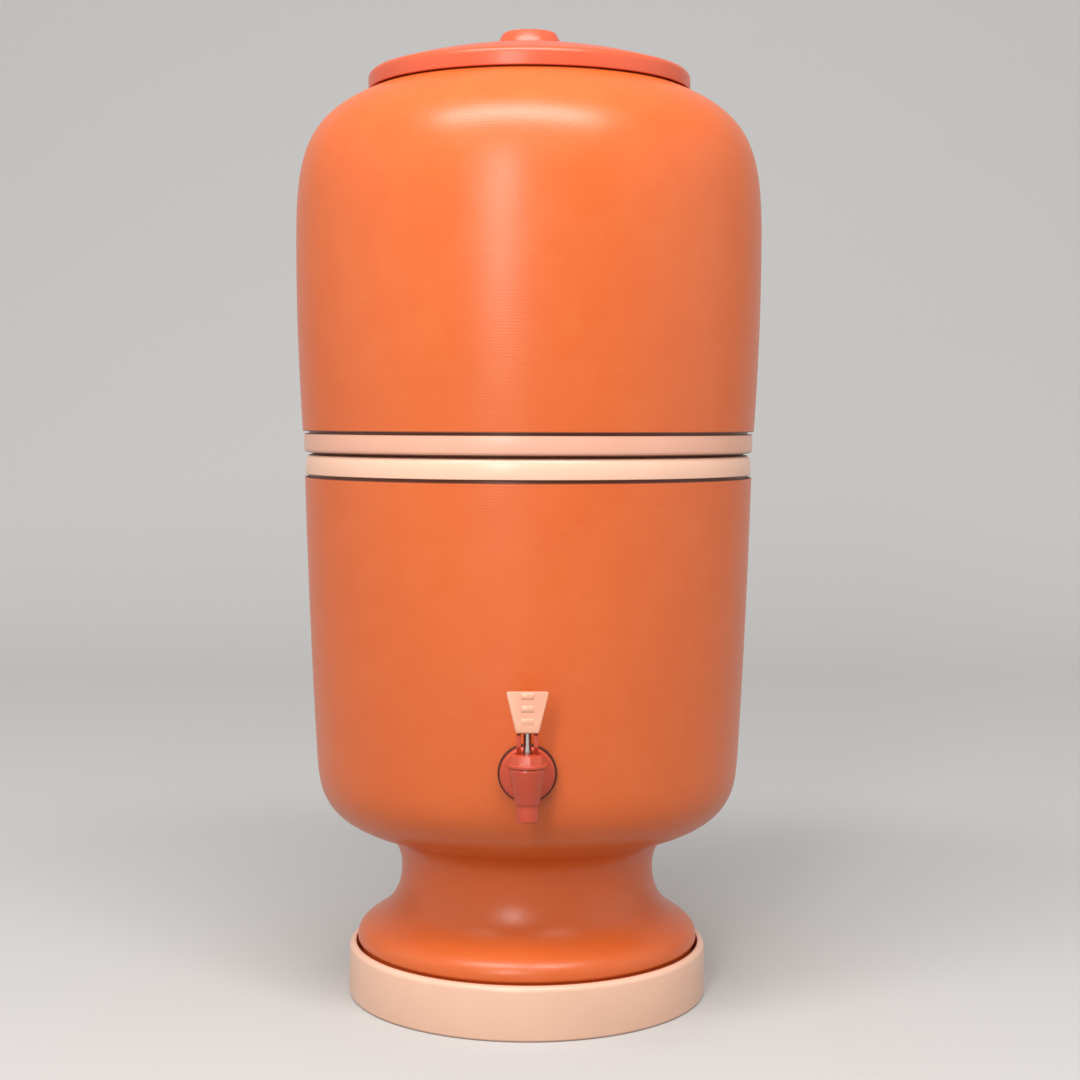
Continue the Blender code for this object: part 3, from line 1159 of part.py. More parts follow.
def lever_slot():
    """Side view of the slot that clears the rod and its eye through the whole tilt, as (forward, up)."""
    eye = ROD_EYE_RADIUS + RUNNING_GAP
    rod = ROD_RADIUS + RUNNING_GAP
    swing = LEVER_TILT_DEG + 2.0
    meet = swing - math.degrees(math.acos(rod / eye))
    reach = 4 * CAM_BASE_RADIUS
    rod_x, rod_z = polar(reach, swing - 90)
    front = (polar(rod, swing)[0] + rod_x, polar(rod, swing)[1] + rod_z)
    round_end = [polar(eye, 90 + (meet - 90) * step / 3) for step in range(4)]
    return [(-reach, eye)] + round_end + [front, (-reach, front[1])]


def tap_lever(finish, pivot):
    """Paddle on two cam cheeks. Tilting it forward rolls the cams on the ears and draws the rod up."""
    half_bottom = LEVER_BOTTOM_WIDTH / 2
    half_top = LEVER_TOP_WIDTH / 2
    bottom = -CAM_BASE_RADIUS
    top = bottom + LEVER_HEIGHT
    cam_end = LEVER_TILT_DEG + CAM_RUN_OUT_DEG
    cam = [cam_point(cam_end * step / 6) for step in range(7)]
    nose, nose_z = cam[-1]
    back_deg = 180 + math.degrees(math.acos(CAM_BACK_REACH / CAM_BASE_RADIUS)) * 0.5
    back = [polar(CAM_BASE_RADIUS, 90 + (back_deg - 90) * step / 4) for step in range(5)]
    side = cam + [(nose, 0.0), (nose - LEVER_THICKNESS / 2, CAM_BASE_RADIUS)] + back + [(-CAM_BACK_REACH, bottom)]
    cheeks = prism([(-forward, up) for forward, up in side], -half_bottom, half_bottom, "YZ")
    part = add_part("tap_lever", cheeks, finish, parent=pivot)

    foot = nose_z + SEAT_GAP
    foot_half = half_bottom + (half_top - half_bottom) * (foot - bottom) / LEVER_HEIGHT
    paddle = rounded([
        (-foot_half, 0, 0.0006),
        (foot_half, 0, 0.0006),
        (half_top, top - foot, 0.0010),
        (-half_top, top - foot, 0.0010),
    ])
    face = (0, SEAT_GAP - nose, foot)
    plate = turned(prism(paddle, 0, LEVER_THICKNESS, "XZ"), -LEVER_LEAN_DEG, "X")
    reshape(part, moved(plate, face), "UNION")
    for index in range(FINGER_RIB_COUNT):
        rib = moved(finger_rib(), (0, 0, FINGER_RIB_START + FINGER_RIB_PITCH * index))
        reshape(part, moved(turned(rib, -LEVER_LEAN_DEG, "X"), face), "UNION")

    slot = [(-forward, up) for forward, up in lever_slot()]
    reshape(part, prism(slot, -LEVER_SLOT_WIDTH / 2, LEVER_SLOT_WIDTH / 2, "YZ"), "DIFFERENCE")
    pin_hole = cylinder(LEVER_PIN_RADIUS + SEAT_GAP, -LEVER_TOP_WIDTH, LEVER_TOP_WIDTH, PIN_FACETS)
    reshape(part, turned(pin_hole, 90, "Y"), "DIFFERENCE")


def finger_rib():
    """Low rounded pad on the paddle's face."""
    half_width = FINGER_RIB_WIDTH / 2
    half_height = FINGER_RIB_HEIGHT / 2
    section = [
        (0.0006, -half_height),
        (0.0, -half_height),
        (-FINGER_RIB_PROUD, -half_height * 0.4),
        (-FINGER_RIB_PROUD, half_height * 0.4),
        (0.0, half_height),
        (0.0006, half_height),
    ]
    return prism(section, -half_width, half_width, "YZ")


def clear_scene():
    """Empties the scene."""
    for item in list(bpy.data.objects):
        bpy.data.objects.remove(item, do_unlink=True)


def main():
    """Builds every sub-part in its rest position."""
    clear_scene()
    clay = make_finish("terracotta", (0.80, 0.19, 0.045), 0.42)
    peach = make_finish("peach_plastic", (0.95, 0.50, 0.33), 0.35)
    red = make_finish("red_plastic", (0.80, 0.12, 0.045), 0.30)
    white = make_finish("white_plastic", (0.86, 0.86, 0.84), 0.40)
    ceramic = make_finish("candle_ceramic", (0.90, 0.88, 0.83), 0.80)
    carbon = make_finish("active_carbon", (0.03, 0.03, 0.03), 0.90)
    rubber = make_finish("dark_rubber", (0.04, 0.03, 0.03), 0.60)
    steel = make_finish("steel", (0.62, 0.62, 0.60), 0.25, 1.0)

    upper = add_pivot("upper_lift", (0, 0, 0))
    cover = add_pivot("lid_lift", (0, 0, 0))
    cover.parent = upper
    arm_pivot = add_pivot("float_swing", (-HINGE_REACH, 0, HINGE_Z))
    arm_pivot.rotation_euler = (0, math.radians(FLOAT_DROOP_DEG), 0)
    arm_pivot.parent = upper
    lever_pivot = add_pivot("lever_tilt", tap_origin() + Vector((0, 0, LEVER_PIN_RISE)))

    base_stand(peach)
    lower_chamber(clay)
    lower_rim_ring(peach)
    upper_rim_ring(peach, upper)
    upper_chamber(clay, upper)
    lid(red, cover)
    candle(white, ceramic, carbon, rubber, upper)
    candle_wing_nut(white, upper)
    float_valve_body(white, upper)
    float_arm(white, rubber, arm_pivot)
    float_halves(white, arm_pivot)
    tap_body(red)
    tap_clamp(red, rubber)
    tap_bonnet(red, rubber)
    tap_valve(steel, rubber, lever_pivot)
    tap_spring(steel)
    tap_lever(peach, lever_pivot)


main()
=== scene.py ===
"""Finished look of a clay water filter: two thrown chambers on a foot, with a lid, a candle and a lever tap.

All sizes are in metres, +Z is up and the tap faces -Y. Each piece stands for the CAD node of the same kind.
"""

import math

import bmesh
import bpy
from bpy.props import FloatProperty, FloatVectorProperty, IntProperty, PointerProperty
from bpy.types import Operator, Panel, PropertyGroup
from mathutils import Matrix, Vector


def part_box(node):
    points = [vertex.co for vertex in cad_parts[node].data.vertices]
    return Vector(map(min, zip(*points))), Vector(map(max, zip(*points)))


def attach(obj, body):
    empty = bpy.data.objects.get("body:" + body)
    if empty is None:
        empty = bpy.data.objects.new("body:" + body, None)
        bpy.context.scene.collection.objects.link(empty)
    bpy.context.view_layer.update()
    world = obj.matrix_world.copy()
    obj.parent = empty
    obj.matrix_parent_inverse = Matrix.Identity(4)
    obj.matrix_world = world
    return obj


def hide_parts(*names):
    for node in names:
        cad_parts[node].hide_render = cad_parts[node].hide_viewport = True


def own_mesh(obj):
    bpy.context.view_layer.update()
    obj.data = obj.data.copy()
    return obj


bl_info = {
    "name": "Clay Water Filter",
    "version": (1, 0, 0),
    "blender": (4, 5, 0),
    "location": "3D View > Sidebar > Water Filter",
    "description": "Builds a two-chamber clay water filter with its rings, lid, candle, float valve and tap",
    "category": "Add Mesh",
}

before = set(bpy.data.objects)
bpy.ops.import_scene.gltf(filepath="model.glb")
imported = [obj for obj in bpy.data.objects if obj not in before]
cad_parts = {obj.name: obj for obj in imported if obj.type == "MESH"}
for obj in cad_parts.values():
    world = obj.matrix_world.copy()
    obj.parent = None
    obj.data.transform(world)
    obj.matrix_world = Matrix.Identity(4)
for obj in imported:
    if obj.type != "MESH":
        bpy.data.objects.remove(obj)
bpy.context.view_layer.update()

SEAT_GAP = 0.0003
LOOSE_GAP = 0.00035
RUNNING_GAP = 0.0004
CUT_MARGIN = 0.001
MERGE_DISTANCE = 0.000001
SHARP_ANGLE = math.radians(38)

# Sizes of the tap that several of its pieces share
TAP_RIM = 0.0076
TAP_NECK = 0.0079
TAP_NECK_TOP = 0.0100
TAP_BORE = 0.0064
GASKET = 0.0008
FLANGE_WASHER = 0.0028
INNER_WASHER = 0.0030
NUT_DEPTH = 0.0070
ROD_EYE = 0.0027

# For each CAD node: name of its finished piece, body it rides on, material slot and kind of finish
PIECES = {
    "base_stand": ("base_stand_moulding", "lower", "peach_plastic", ""),
    "lower_chamber": ("lower_chamber_clay", "lower", "terracotta", ""),
    "lower_rim_ring": ("lower_rim_ring_moulding", "lower", "peach_plastic", ""),
    "upper_rim_ring": ("upper_rim_ring_moulding", "upper", "peach_plastic", "_upper"),
    "upper_chamber": ("upper_chamber_clay", "upper", "terracotta", ""),
    "lid": ("lid_moulding", "cover", "red_plastic", ""),
    "candle_base": ("candle_foot", "upper", "white_plastic", ""),
    "candle_shell": ("candle_shell_ceramic", "upper", "candle_ceramic", ""),
    "candle_core": ("candle_carbon", "upper", "active_carbon", ""),
    "candle_washer": ("candle_washer_rubber", "upper", "dark_rubber", ""),
    "candle_lower_washer": ("lower_washer_rubber", "upper", "dark_rubber", ""),
    "candle_wing_nut": ("wing_nut_moulding", "upper", "white_plastic", ""),
    "float_valve_body": ("float_valve_moulding", "upper", "white_plastic", ""),
    "float_hinge_pin": ("float_hinge_wire", "upper", "steel", ""),
    "float_arm": ("float_arm_moulding", "float", "white_plastic", ""),
    "float_seal": ("float_seal_rubber", "float", "dark_rubber", ""),
    "float_cap": ("float_cap_moulding", "float", "white_plastic", ""),
    "float_cup": ("float_cup_moulding", "float", "white_plastic", ""),
    "tap_body": ("tap_body_moulding", "lower", "red_plastic", "_tap"),
    "tap_flange_washer": ("flange_washer_rubber", "lower", "dark_rubber", ""),
    "tap_inner_washer": ("inner_washer_rubber", "lower", "dark_rubber", ""),
    "tap_nut": ("tap_nut_moulding", "lower", "red_plastic", "_tap"),
    "tap_bonnet_gasket": ("bonnet_gasket_rubber", "lower", "dark_rubber", ""),
    "tap_stem_guide": ("stem_guide_moulding", "lower", "red_plastic", "_tap"),
    "tap_bonnet_ring": ("bonnet_ring_moulding", "lower", "red_plastic", "_tap"),
    "tap_valve_plug": ("valve_plug_rubber", "stem", "dark_rubber", ""),
    "tap_stem": ("tap_rod_steel", "stem", "steel", ""),
    "tap_lever_pin": ("lever_pin_steel", "stem", "steel", ""),
    "tap_spring": ("tap_spring_coil", "lower", "steel", ""),
    "tap_lever": ("tap_lever_moulding", "lever", "peach_plastic", "_lever"),
}


def side_of(node):
    """Largest x of a CAD node's box."""
    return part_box(node)[1].x


def top_of(node):
    """Largest z of a CAD node's box."""
    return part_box(node)[1].z


def foot_of(node):
    """Smallest z of a CAD node's box."""
    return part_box(node)[0].z


def length(name, description, default):
    """Length property in metres."""
    return FloatProperty(name=name, description=description, default=default, unit="LENGTH", precision=4)


def angle(name, description, degrees):
    """Angle property, default in degrees."""
    return FloatProperty(name=name, description=description, default=math.radians(degrees), subtype="ANGLE")


def share(name, description, default):
    """Share from 0 to 1."""
    return FloatProperty(
        name=name, description=description, default=default, min=0.0, max=1.0, subtype="FACTOR"
    )


def count(name, description, default):
    """Whole number."""
    return IntProperty(name=name, description=description, default=default, min=1)


def amount(name, description, default):
    """Plain positive number."""
    return FloatProperty(name=name, description=description, default=default, min=0.0)


def colour(name, description, default):
    """Linear colour."""
    return FloatVectorProperty(
        name=name, description=description, default=default, size=3, min=0.0, max=1.0, subtype="COLOR"
    )


class WATERFILTER_PG_smoothness(PropertyGroup):
    """How finely round surfaces are cut."""

    pot_facets: count("Pot facets", "Facets round the chambers, rings and lid", 192)
    turned_facets: count("Turned facets", "Facets round the small turned pieces", 64)
    curve_steps: count("Curve steps", "Steps along each curve of a profile", 14)
    corner_steps: count("Corner steps", "Steps round each rounded corner", 5)


class WATERFILTER_PG_stand(PropertyGroup):
    """Sizes of the base stand."""

    height: length("Height", "Height of the stand's lip", top_of("base_stand"))
    clearance: length("Clearance", "Between the foot's edge and the lip", 0.0010)
    wall: length("Wall", "Thickness of the outer wall", 0.0039)
    draft: length("Draft", "How much wider the wall is at its foot", 0.0004)
    edge_rounding: length("Edge rounding", "Rounding of the foot edge", 0.0015)
    lip_rounding: length("Lip rounding", "Rounding of the lip", 0.0030)
    dish_depth: length("Dish depth", "Depth of the dish that the foot stands in", 0.0182)
    floor: length("Floor", "Thickness of the dish floor", 0.0025)
    boss_radius: length("Boss radius", "Radius of the centre boss below the floor", 0.016)
    rib_count: count("Ribs", "Ribs below the floor", 6)


class WATERFILTER_PG_lower(PropertyGroup):
    """Sizes of the lower chamber."""

    foot_radius: length("Foot radius", "Radius of the pedestal's edge", 0.0997)
    foot_edge_rise: length("Foot edge rise", "Height of that edge over the stand's lip", 0.0033)
    foot_roll: length("Foot roll", "Drop of the foot's rolled edge", 0.0038)
    foot_set_back: length("Foot set-back", "How far the foot draws in under its edge", 0.0024)
    foot_shoulder_radius: length("Foot shoulder radius", "Radius where the foot starts to spread", 0.0846)
    foot_shoulder_rise: length("Foot shoulder rise", "Height of that shoulder over the foot edge", 0.0156)
    waist_radius: length("Waist radius", "Narrowest radius between foot and bowl", 0.0738)
    waist_rise: length("Waist rise", "Height of the waist over the foot edge", 0.0410)
    crease_radius: length("Crease radius", "Radius of the crease under the bowl", 0.0870)
    crease_rise: length("Crease rise", "Height of the crease over the waist", 0.0215)
    bowl_radius: length("Bowl radius", "Radius where the bowl turns into its side", 0.1232)
    bowl_rise: length("Bowl rise", "Height of that turn over the crease", 0.0448)
    top_radius: length("Top radius", "Radius under the rim ring", side_of("lower_chamber"))
    side_rise: length("Side rise", "Height of the upright side", 0.1622)
    rim_height: length("Rim height", "Height of the clay rim", top_of("lower_chamber"))
    clay_wall: length("Clay wall", "Thickness of the thrown wall", 0.0095)


class WATERFILTER_PG_upper(PropertyGroup):
    """Sizes of the upper chamber."""

    bottom_radius: length("Bottom radius", "Radius over the rim ring", 0.1308)
    belly_radius: length("Belly radius", "Widest radius", side_of("upper_chamber"))
    neck_rise: length("Neck rise", "Height of the mouth's neck", 0.0056)
    shoulder_rise: length("Shoulder rise", "Height of the round shoulder", 0.0886)
    shoulder_top_radius: length("Shoulder top radius", "Radius where the shoulder meets the neck", 0.0897)
    neck_radius: length("Neck radius", "Outer radius of the mouth's neck", 0.0862)
    mouth_radius: length("Mouth radius", "Inner radius of the mouth", 0.0785)
    mouth_height: length("Mouth height", "Height of the mouth's rim", top_of("upper_chamber"))
    under_height: length("Underside height", "Height of the spigot's underside", foot_of("upper_chamber"))
    floor: length("Floor", "Thickness of the floor", 0.0115)


class WATERFILTER_PG_rings(PropertyGroup):
    """Sizes of the two rim rings."""

    wall: length("Wall", "Thickness of the rings", 0.0024)
    lower_band: length("Lower band", "Height of the lower ring's band", 0.0119)
    upper_band: length("Upper band", "Height of the upper ring's band", 0.0112)
    line: length("Line", "Open line between each ring and the clay", 0.0014)
    top: length("Top", "Thickness where the rings meet", 0.0025)
    rounding: length("Rounding", "Rounding of the bands' outer edges", 0.0014)
    lip_rounding: length("Lip rounding", "Rounding of the upper ring's lower edge", 0.0020)
    brow_rise: length("Brow rise", "Height over its foot where the lower ring starts to curve in", 0.0040)
    brow_depth: length("Brow depth", "How far the lower ring curves in", 0.0028)
    groove_depth: length("Groove depth", "Depth of the groove where the rings face each other", 0.0044)
    groove_half: length("Groove half height", "How far each ring's edge stands back in that groove", 0.0005)
    # Painted shade: this colour darkens the open lines over, between and under the rings, where shadow falls.
    grime: colour("Grime", "Colour of the dust in the lines round the rings", (0.20, 0.048, 0.018))
    lower_radius: length("Lower ring radius", "Outer radius", side_of("lower_rim_ring"))
    lower_top: length("Lower ring height", "Height of the lower ring's top", top_of("lower_rim_ring"))
    upper_radius: length("Upper ring radius", "Outer radius", side_of("upper_rim_ring"))
    upper_foot: length("Upper ring height", "Height of its underside", foot_of("upper_rim_ring"))


class WATERFILTER_PG_lid(PropertyGroup):
    """Sizes of the lid."""

    radius: length("Radius", "Radius of the skirt", side_of("lid"))
    top: length("Top", "Height of the knob's crown", top_of("lid"))
    shell: length("Shell", "Thickness of the moulding", 0.0023)
    edge_rounding: length("Edge rounding", "Rounding between dome and skirt", 0.0040)
    dome_rise: length("Dome rise", "Rise of the dome over its edge", 0.0143)
    knob_radius: length("Knob radius", "Radius of the knob's top", 0.0152)
    knob_rise: length("Knob rise", "Height of the knob over the dome", 0.0094)
    knob_rounding: length("Knob rounding", "Rounding of the knob's edge", 0.0016)


class WATERFILTER_PG_candle(PropertyGroup):
    """Sizes of the candle."""

    radius: length("Radius", "Radius of the ceramic shell", 0.0275)
    wall: length("Wall", "Thickness of the shell", 0.0070)
    side: length("Side", "Height of its straight side", 0.0640)
    stem_radius: length("Stem radius", "Radius of the threaded stem", 0.0050)
    foot_height: length("Foot height", "Height of the plastic cup round the shell", 0.0140)
    thread_pitch: length("Thread pitch", "Pitch of the stem's thread", 0.0016)


class WATERFILTER_PG_float(PropertyGroup):
    """Sizes of the float valve."""

    valve_radius: length("Valve radius", "Radius of the valve body", 0.0095)
    arm_length: length("Arm length", "From the hinge pin to the float", 0.0500)
    arm_width: length("Arm width", "Width of the arm", 0.0066)
    arm_thickness: length("Arm thickness", "Thickness of the arm", 0.0036)
    float_radius: length("Float radius", "Radius of the float", 0.0190)
    droop: angle("Droop", "How far the arm hangs at rest", 28.0)


class WATERFILTER_PG_tap(PropertyGroup):
    """Sizes of the tap."""

    flange_radius: length("Flange radius", "Radius of the flange", 0.0146)
    washer_radius: length("Washer radius", "Radius of the washer behind it", 0.0156)
    shank_radius: length("Shank radius", "Radius of the threaded shank", 0.0072)
    shoulder_radius: length("Shoulder radius", "Radius of the cup under its ring", 0.0098)
    foot_radius: length("Cup foot radius", "Radius of the cup over the spout", 0.0063)
    spout_radius: length("Spout radius", "Outer radius of the spout", 0.0058)
    spout_bore: length("Spout bore", "Inner radius of the spout", 0.0036)
    ring_radius: length("Ring radius", "Radius of the bonnet ring's lip", 0.01025)
    ring_top_radius: length("Ring top radius", "Radius of its top", 0.0088)
    ring_flats: count("Ring flats", "Flats round the bonnet ring", 9)
    rod_radius: length("Rod radius", "Radius of the rod", 0.0020)
    wire_radius: length("Wire radius", "Radius of the spring's wire", 0.0004)
    coil_radius: length("Coil radius", "Radius of the spring's coil", 0.0042)


class WATERFILTER_PG_lever(PropertyGroup):
    """Sizes of the lever."""

    bottom_width: length("Bottom width", "Width of the paddle over the cams", 0.0113)
    top_width: length("Top width", "Width of the paddle's top", 0.0220)
    height: length("Height", "Height from the ears to the paddle's top", 0.0220)
    thickness: length("Thickness", "Thickness of the paddle", 0.0024)
    lean: angle("Lean", "How far the paddle leans back", 6.0)
    rib_count: count("Finger ribs", "Ribs on the paddle's face", 3)


class WATERFILTER_PG_clay(PropertyGroup):
    """Finish of the terracotta."""

    body: colour("Clay", "Colour of most of the clay", (0.735, 0.138, 0.025))
    pale: colour("Pale clay", "Colour of paler, chalky patches", (0.80, 0.195, 0.055))
    deep: colour("Deep clay", "Colour of redder, more fired patches", (0.66, 0.095, 0.018))
    roughness: share("Roughness", "Roughness of the rubbed surface", 0.285)
    turning_pitch: length("Turning pitch", "Distance between the fine turning lines", 0.0016)
    grain: length("Grain", "Height of the surface grain", 0.00006)


class WATERFILTER_PG_plastic(PropertyGroup):
    """Finishes of the plastics."""

    peach: colour("Peach", "Colour of the stand and the lower ring", (0.96, 0.58, 0.415))
    ring_peach: colour("Ring peach", "Slightly deeper peach of the upper ring", (0.865, 0.45, 0.315))
    lever_peach: colour("Lever peach", "Deeper peach of the lever", (0.81, 0.395, 0.258))
    red: colour("Brick red", "Colour of the lid", (0.67, 0.106, 0.040))
    tap_red: colour("Tap red", "Deeper brick red of the tap", (0.58, 0.072, 0.030))
    white: colour("White", "Colour of the candle's foot and the float", (0.84, 0.84, 0.81))
    gloss_roughness: share("Gloss roughness", "Roughness of the outer mouldings", 0.285)
    white_roughness: share("White roughness", "Roughness of the inner mouldings", 0.40)
    grain: length("Grain", "Height of the moulded grain", 0.000012)


class WATERFILTER_PG_small_finishes(PropertyGroup):
    """Finishes of the candle, rubber and steel."""

    ceramic: colour("Ceramic", "Colour of the candle", (0.84, 0.81, 0.74))
    carbon: colour("Carbon", "Colour of the candle's filling", (0.028, 0.028, 0.030))
    rubber: colour("Rubber", "Colour of the washers", (0.085, 0.024, 0.017))
    steel: colour("Steel", "Colour of rod, pins and spring", (0.60, 0.59, 0.57))


class WATERFILTER_PG_studio(PropertyGroup):
    """Camera, floor and light."""

    camera_distance: length("Camera distance", "In front of the filter's axis", 1.12)
    camera_height: length("Camera height", "Over the floor", 0.337)
    pitch: angle("Pitch", "How far the camera looks down", 3.65)
    roll: angle("Roll", "How far the camera is turned on its axis", 0.17)
    lens: amount("Lens", "Focal length on a 36 mm sensor, in millimetres", 63.83)
    shift: FloatProperty(name="Shift", description="Sideways shift of the view", default=0.0111)
    floor: colour("Floor", "Colour of the floor", (0.22, 0.217, 0.213))
    backdrop: colour("Backdrop", "Colour of the backdrop", (0.80, 0.79, 0.78))
    seen_floor: amount("Seen floor", "How much paler the floor looks than it lights", 2.6)
    world: amount("World", "Even light from all round", 0.49)
    top: amount("Top", "Power of the soft light over the filter, in watts", 24.8)
    strip: amount("Strip", "Power of the tall light beside the camera, in watts", 7.8)
    side: amount("Sides", "Power of the wide light on each side, in watts", 4.1)


class WATERFILTER_PG_settings(PropertyGroup):
    """Everything that can be changed on the filter."""

    smoothness: PointerProperty(name="Smoothness", type=WATERFILTER_PG_smoothness)
    stand: PointerProperty(name="Base stand", type=WATERFILTER_PG_stand)
    lower: PointerProperty(name="Lower chamber", type=WATERFILTER_PG_lower)
    upper: PointerProperty(name="Upper chamber", type=WATERFILTER_PG_upper)
    rings: PointerProperty(name="Rim rings", type=WATERFILTER_PG_rings)
    lid: PointerProperty(name="Lid", type=WATERFILTER_PG_lid)
    candle: PointerProperty(name="Candle", type=WATERFILTER_PG_candle)
    valve: PointerProperty(name="Float valve", type=WATERFILTER_PG_float)
    tap: PointerProperty(name="Tap", type=WATERFILTER_PG_tap)
    lever: PointerProperty(name="Lever", type=WATERFILTER_PG_lever)
    clay: PointerProperty(name="Clay", type=WATERFILTER_PG_clay)
    plastic: PointerProperty(name="Plastics", type=WATERFILTER_PG_plastic)
    small: PointerProperty(name="Small finishes", type=WATERFILTER_PG_small_finishes)
    studio: PointerProperty(name="Studio", type=WATERFILTER_PG_studio)


def settings():
    """The filter's settings in the current scene."""
    return bpy.context.scene.water_filter


# Profiles


def polar(radius, degrees):
    """Point at a radius and an angle."""
    turn = math.radians(degrees)
    return radius * math.cos(turn), radius * math.sin(turn)


def curve(start, start_deg, start_pull, end, end_deg, end_pull, steps=None):
    """Points after start up to end on a cubic; headings in degrees, pulls as shares of the chord."""
    steps = steps or settings().smoothness.curve_steps
    chord = math.dist(start, end)
    leave = polar(start_pull * chord, start_deg)
    arrive = polar(end_pull * chord, end_deg)
    controls = [
        start, (start[0] + leave[0], start[1] + leave[1]), (end[0] - arrive[0], end[1] - arrive[1]), end,
    ]
    points = []
    for step in range(1, steps + 1):
        t = step / steps
        weights = ((1 - t) ** 3, 3 * t * (1 - t) ** 2, 3 * t * t * (1 - t), t ** 3)
        points.append(tuple(sum(w * c[axis] for w, c in zip(weights, controls)) for axis in (0, 1)))
    return points


def corner_arc(before, corner, after, rounding):
    """Arc that rounds the corner between its two neighbours."""
    steps = settings().smoothness.corner_steps
    corner = Vector(corner)
    back = (Vector(before) - corner).normalized()
    ahead = (Vector(after) - corner).normalized()
    half_angle = back.angle(ahead) / 2
    centre = corner + (back + ahead).normalized() * (rounding / math.sin(half_angle))
    reach = rounding / math.tan(half_angle)
    first = corner + back * reach - centre
    turn = first.angle_signed(corner + ahead * reach - centre)
    return [tuple(centre + Matrix.Rotation(-turn * step / steps, 2) @ first) for step in range(steps + 1)]


def rounded(corners, closed):
    """Outline through (r, z) or (r, z, rounding) corners; a corner with no rounding stays sharp."""
    points = []
    for index, (r, z, *rounding) in enumerate(corners):
        if rounding and (closed or 0 < index < len(corners) - 1):
            after = corners[(index + 1) % len(corners)]
            points += corner_arc(corners[index - 1][:2], (r, z), after[:2], rounding[0])
        else:
            points.append((r, z))
    return points


def line(*corners):
    """Open outline through corners, with sharp ends."""
    return rounded(corners, False)


def loop(*corners):
    """Closed outline through corners."""
    return rounded(corners, True)


def rectangle(left, low, right, high):
    """Closed outline of a rectangle."""
    return [(left, low), (right, low), (right, high), (left, high)]


def radius_at(outline, height):
    """Radius of a falling outline at a height."""
    for (r0, z0), (r1, z1) in zip(outline, outline[1:]):
        if z0 >= height >= z1:
            return r0 + (r1 - r0) * (z0 - height) / (z0 - z1)
    raise ValueError("the height lies outside the outline")


# Solids


def revolve(outline, facets, closed):
    """Turned solid about +Z. An open outline starts and ends on the axis."""
    shape = bmesh.new()
    verts = [shape.verts.new((r, 0.0, z)) for r, z in outline]
    edges = [shape.edges.new(pair) for pair in zip(verts, verts[1:])]
    if closed:
        edges.append(shape.edges.new((verts[-1], verts[0])))
    bmesh.ops.spin(
        shape, geom=verts + edges, cent=(0, 0, 0), axis=(0, 0, 1), angle=math.tau, steps=facets, use_merge=True
    )
    bmesh.ops.remove_doubles(shape, verts=shape.verts, dist=MERGE_DISTANCE)
    bmesh.ops.recalc_face_normals(shape, faces=shape.faces)
    return shape


def pot_turned(outline, closed=False):
    """Turned solid with the facets of the chambers, rings and lid."""
    return revolve(outline, settings().smoothness.pot_facets, closed)


def small_turned(outline, closed=False):
    """Turned solid with the facets of the small pieces."""
    return revolve(outline, settings().smoothness.turned_facets, closed)


def cylinder(radius, low, high, edge=0.0):
    """Round bar about +Z with rounded ends."""
    rounding = (edge,) if edge > 0 else ()
    return small_turned(line((0, low), (radius, low, *rounding), (radius, high, *rounding), (0, high)))


def bevelled(shape, edge, sharper_than, segments):
    """The same shape with its edges rounded where they are sharper than an angle."""
    crisp = [e for e in shape.edges if e.calc_face_angle(0) > sharper_than]
    bmesh.ops.bevel(
        shape, geom=crisp, offset=edge, offset_type="OFFSET", segments=segments, profile=0.5,
        affect="EDGES", clamp_overlap=True,
    )
    return shape


def prism(outline, low, high, plane, edge=0.0, segments=2):
    """Outline in a plane, extruded across it from low to high, with all its edges rounded."""
    place = {
        "XZ": lambda a, b, depth: (a, depth, b),
        "YZ": lambda a, b, depth: (depth, a, b),
        "XY": lambda a, b, depth: (a, b, depth),
    }[plane]
    shape = bmesh.new()
    face = shape.faces.new([shape.verts.new(place(a, b, low)) for a, b in outline])
    extruded = bmesh.ops.extrude_face_region(shape, geom=[face])
    far_end = [item for item in extruded["geom"] if isinstance(item, bmesh.types.BMVert)]
    bmesh.ops.translate(shape, verts=far_end, vec=Vector(place(0, 0, high)) - Vector(place(0, 0, low)))
    bmesh.ops.recalc_face_normals(shape, faces=shape.faces)
    return bevelled(shape, edge, SHARP_ANGLE, segments) if edge > 0 else shape


def turned(shape, degrees, axis):
    """The same shape turned about an axis through its origin."""
    spin = Matrix.Rotation(math.radians(degrees), 3, axis)
    bmesh.ops.rotate(shape, verts=shape.verts, cent=(0, 0, 0), matrix=spin)
    return shape


def moved(shape, offset):
    """The same shape moved by an offset."""
    bmesh.ops.translate(shape, verts=shape.verts, vec=offset)
    return shape


def linked(name, data):
    """Object from its data, linked to the scene."""
    made = bpy.data.objects.new(name, data)
    bpy.context.scene.collection.objects.link(made)
    return made


def as_object(name, shape):
    """Mesh object from a shape, which is used up."""
    mesh = bpy.data.meshes.new(name)
    shape.to_mesh(mesh)
    shape.free()
    return linked(name, mesh)


def evaluated_mesh(item):
    """New mesh of an object as its modifiers and settings make it."""
    bpy.context.view_layer.update()
    return bpy.data.meshes.new_from_object(item.evaluated_get(bpy.context.evaluated_depsgraph_get()))


def make(node, base, joined=(), cut=(), place=None):
    """Finished piece from a base shape with shapes joined to it and cut from it."""
    name = PIECES[node][0]
    solid = as_object(name, base)
    helpers = []
    for operation, shapes in (("UNION", joined), ("DIFFERENCE", cut)):
        for shape in shapes:
            helpers.append(as_object(f"{name}_{operation.lower()}", shape))
            step = solid.modifiers.new(operation.title(), "BOOLEAN")
            step.operation = operation
            step.solver = "EXACT"
            step.object = helpers[-1]
    if helpers:
        mesh = evaluated_mesh(solid)
        solid.modifiers.clear()
        solid.data = mesh
        mesh.name = name
        for helper in helpers:
            bpy.data.meshes.remove(helper.data)
    finish_piece(solid, node, place)


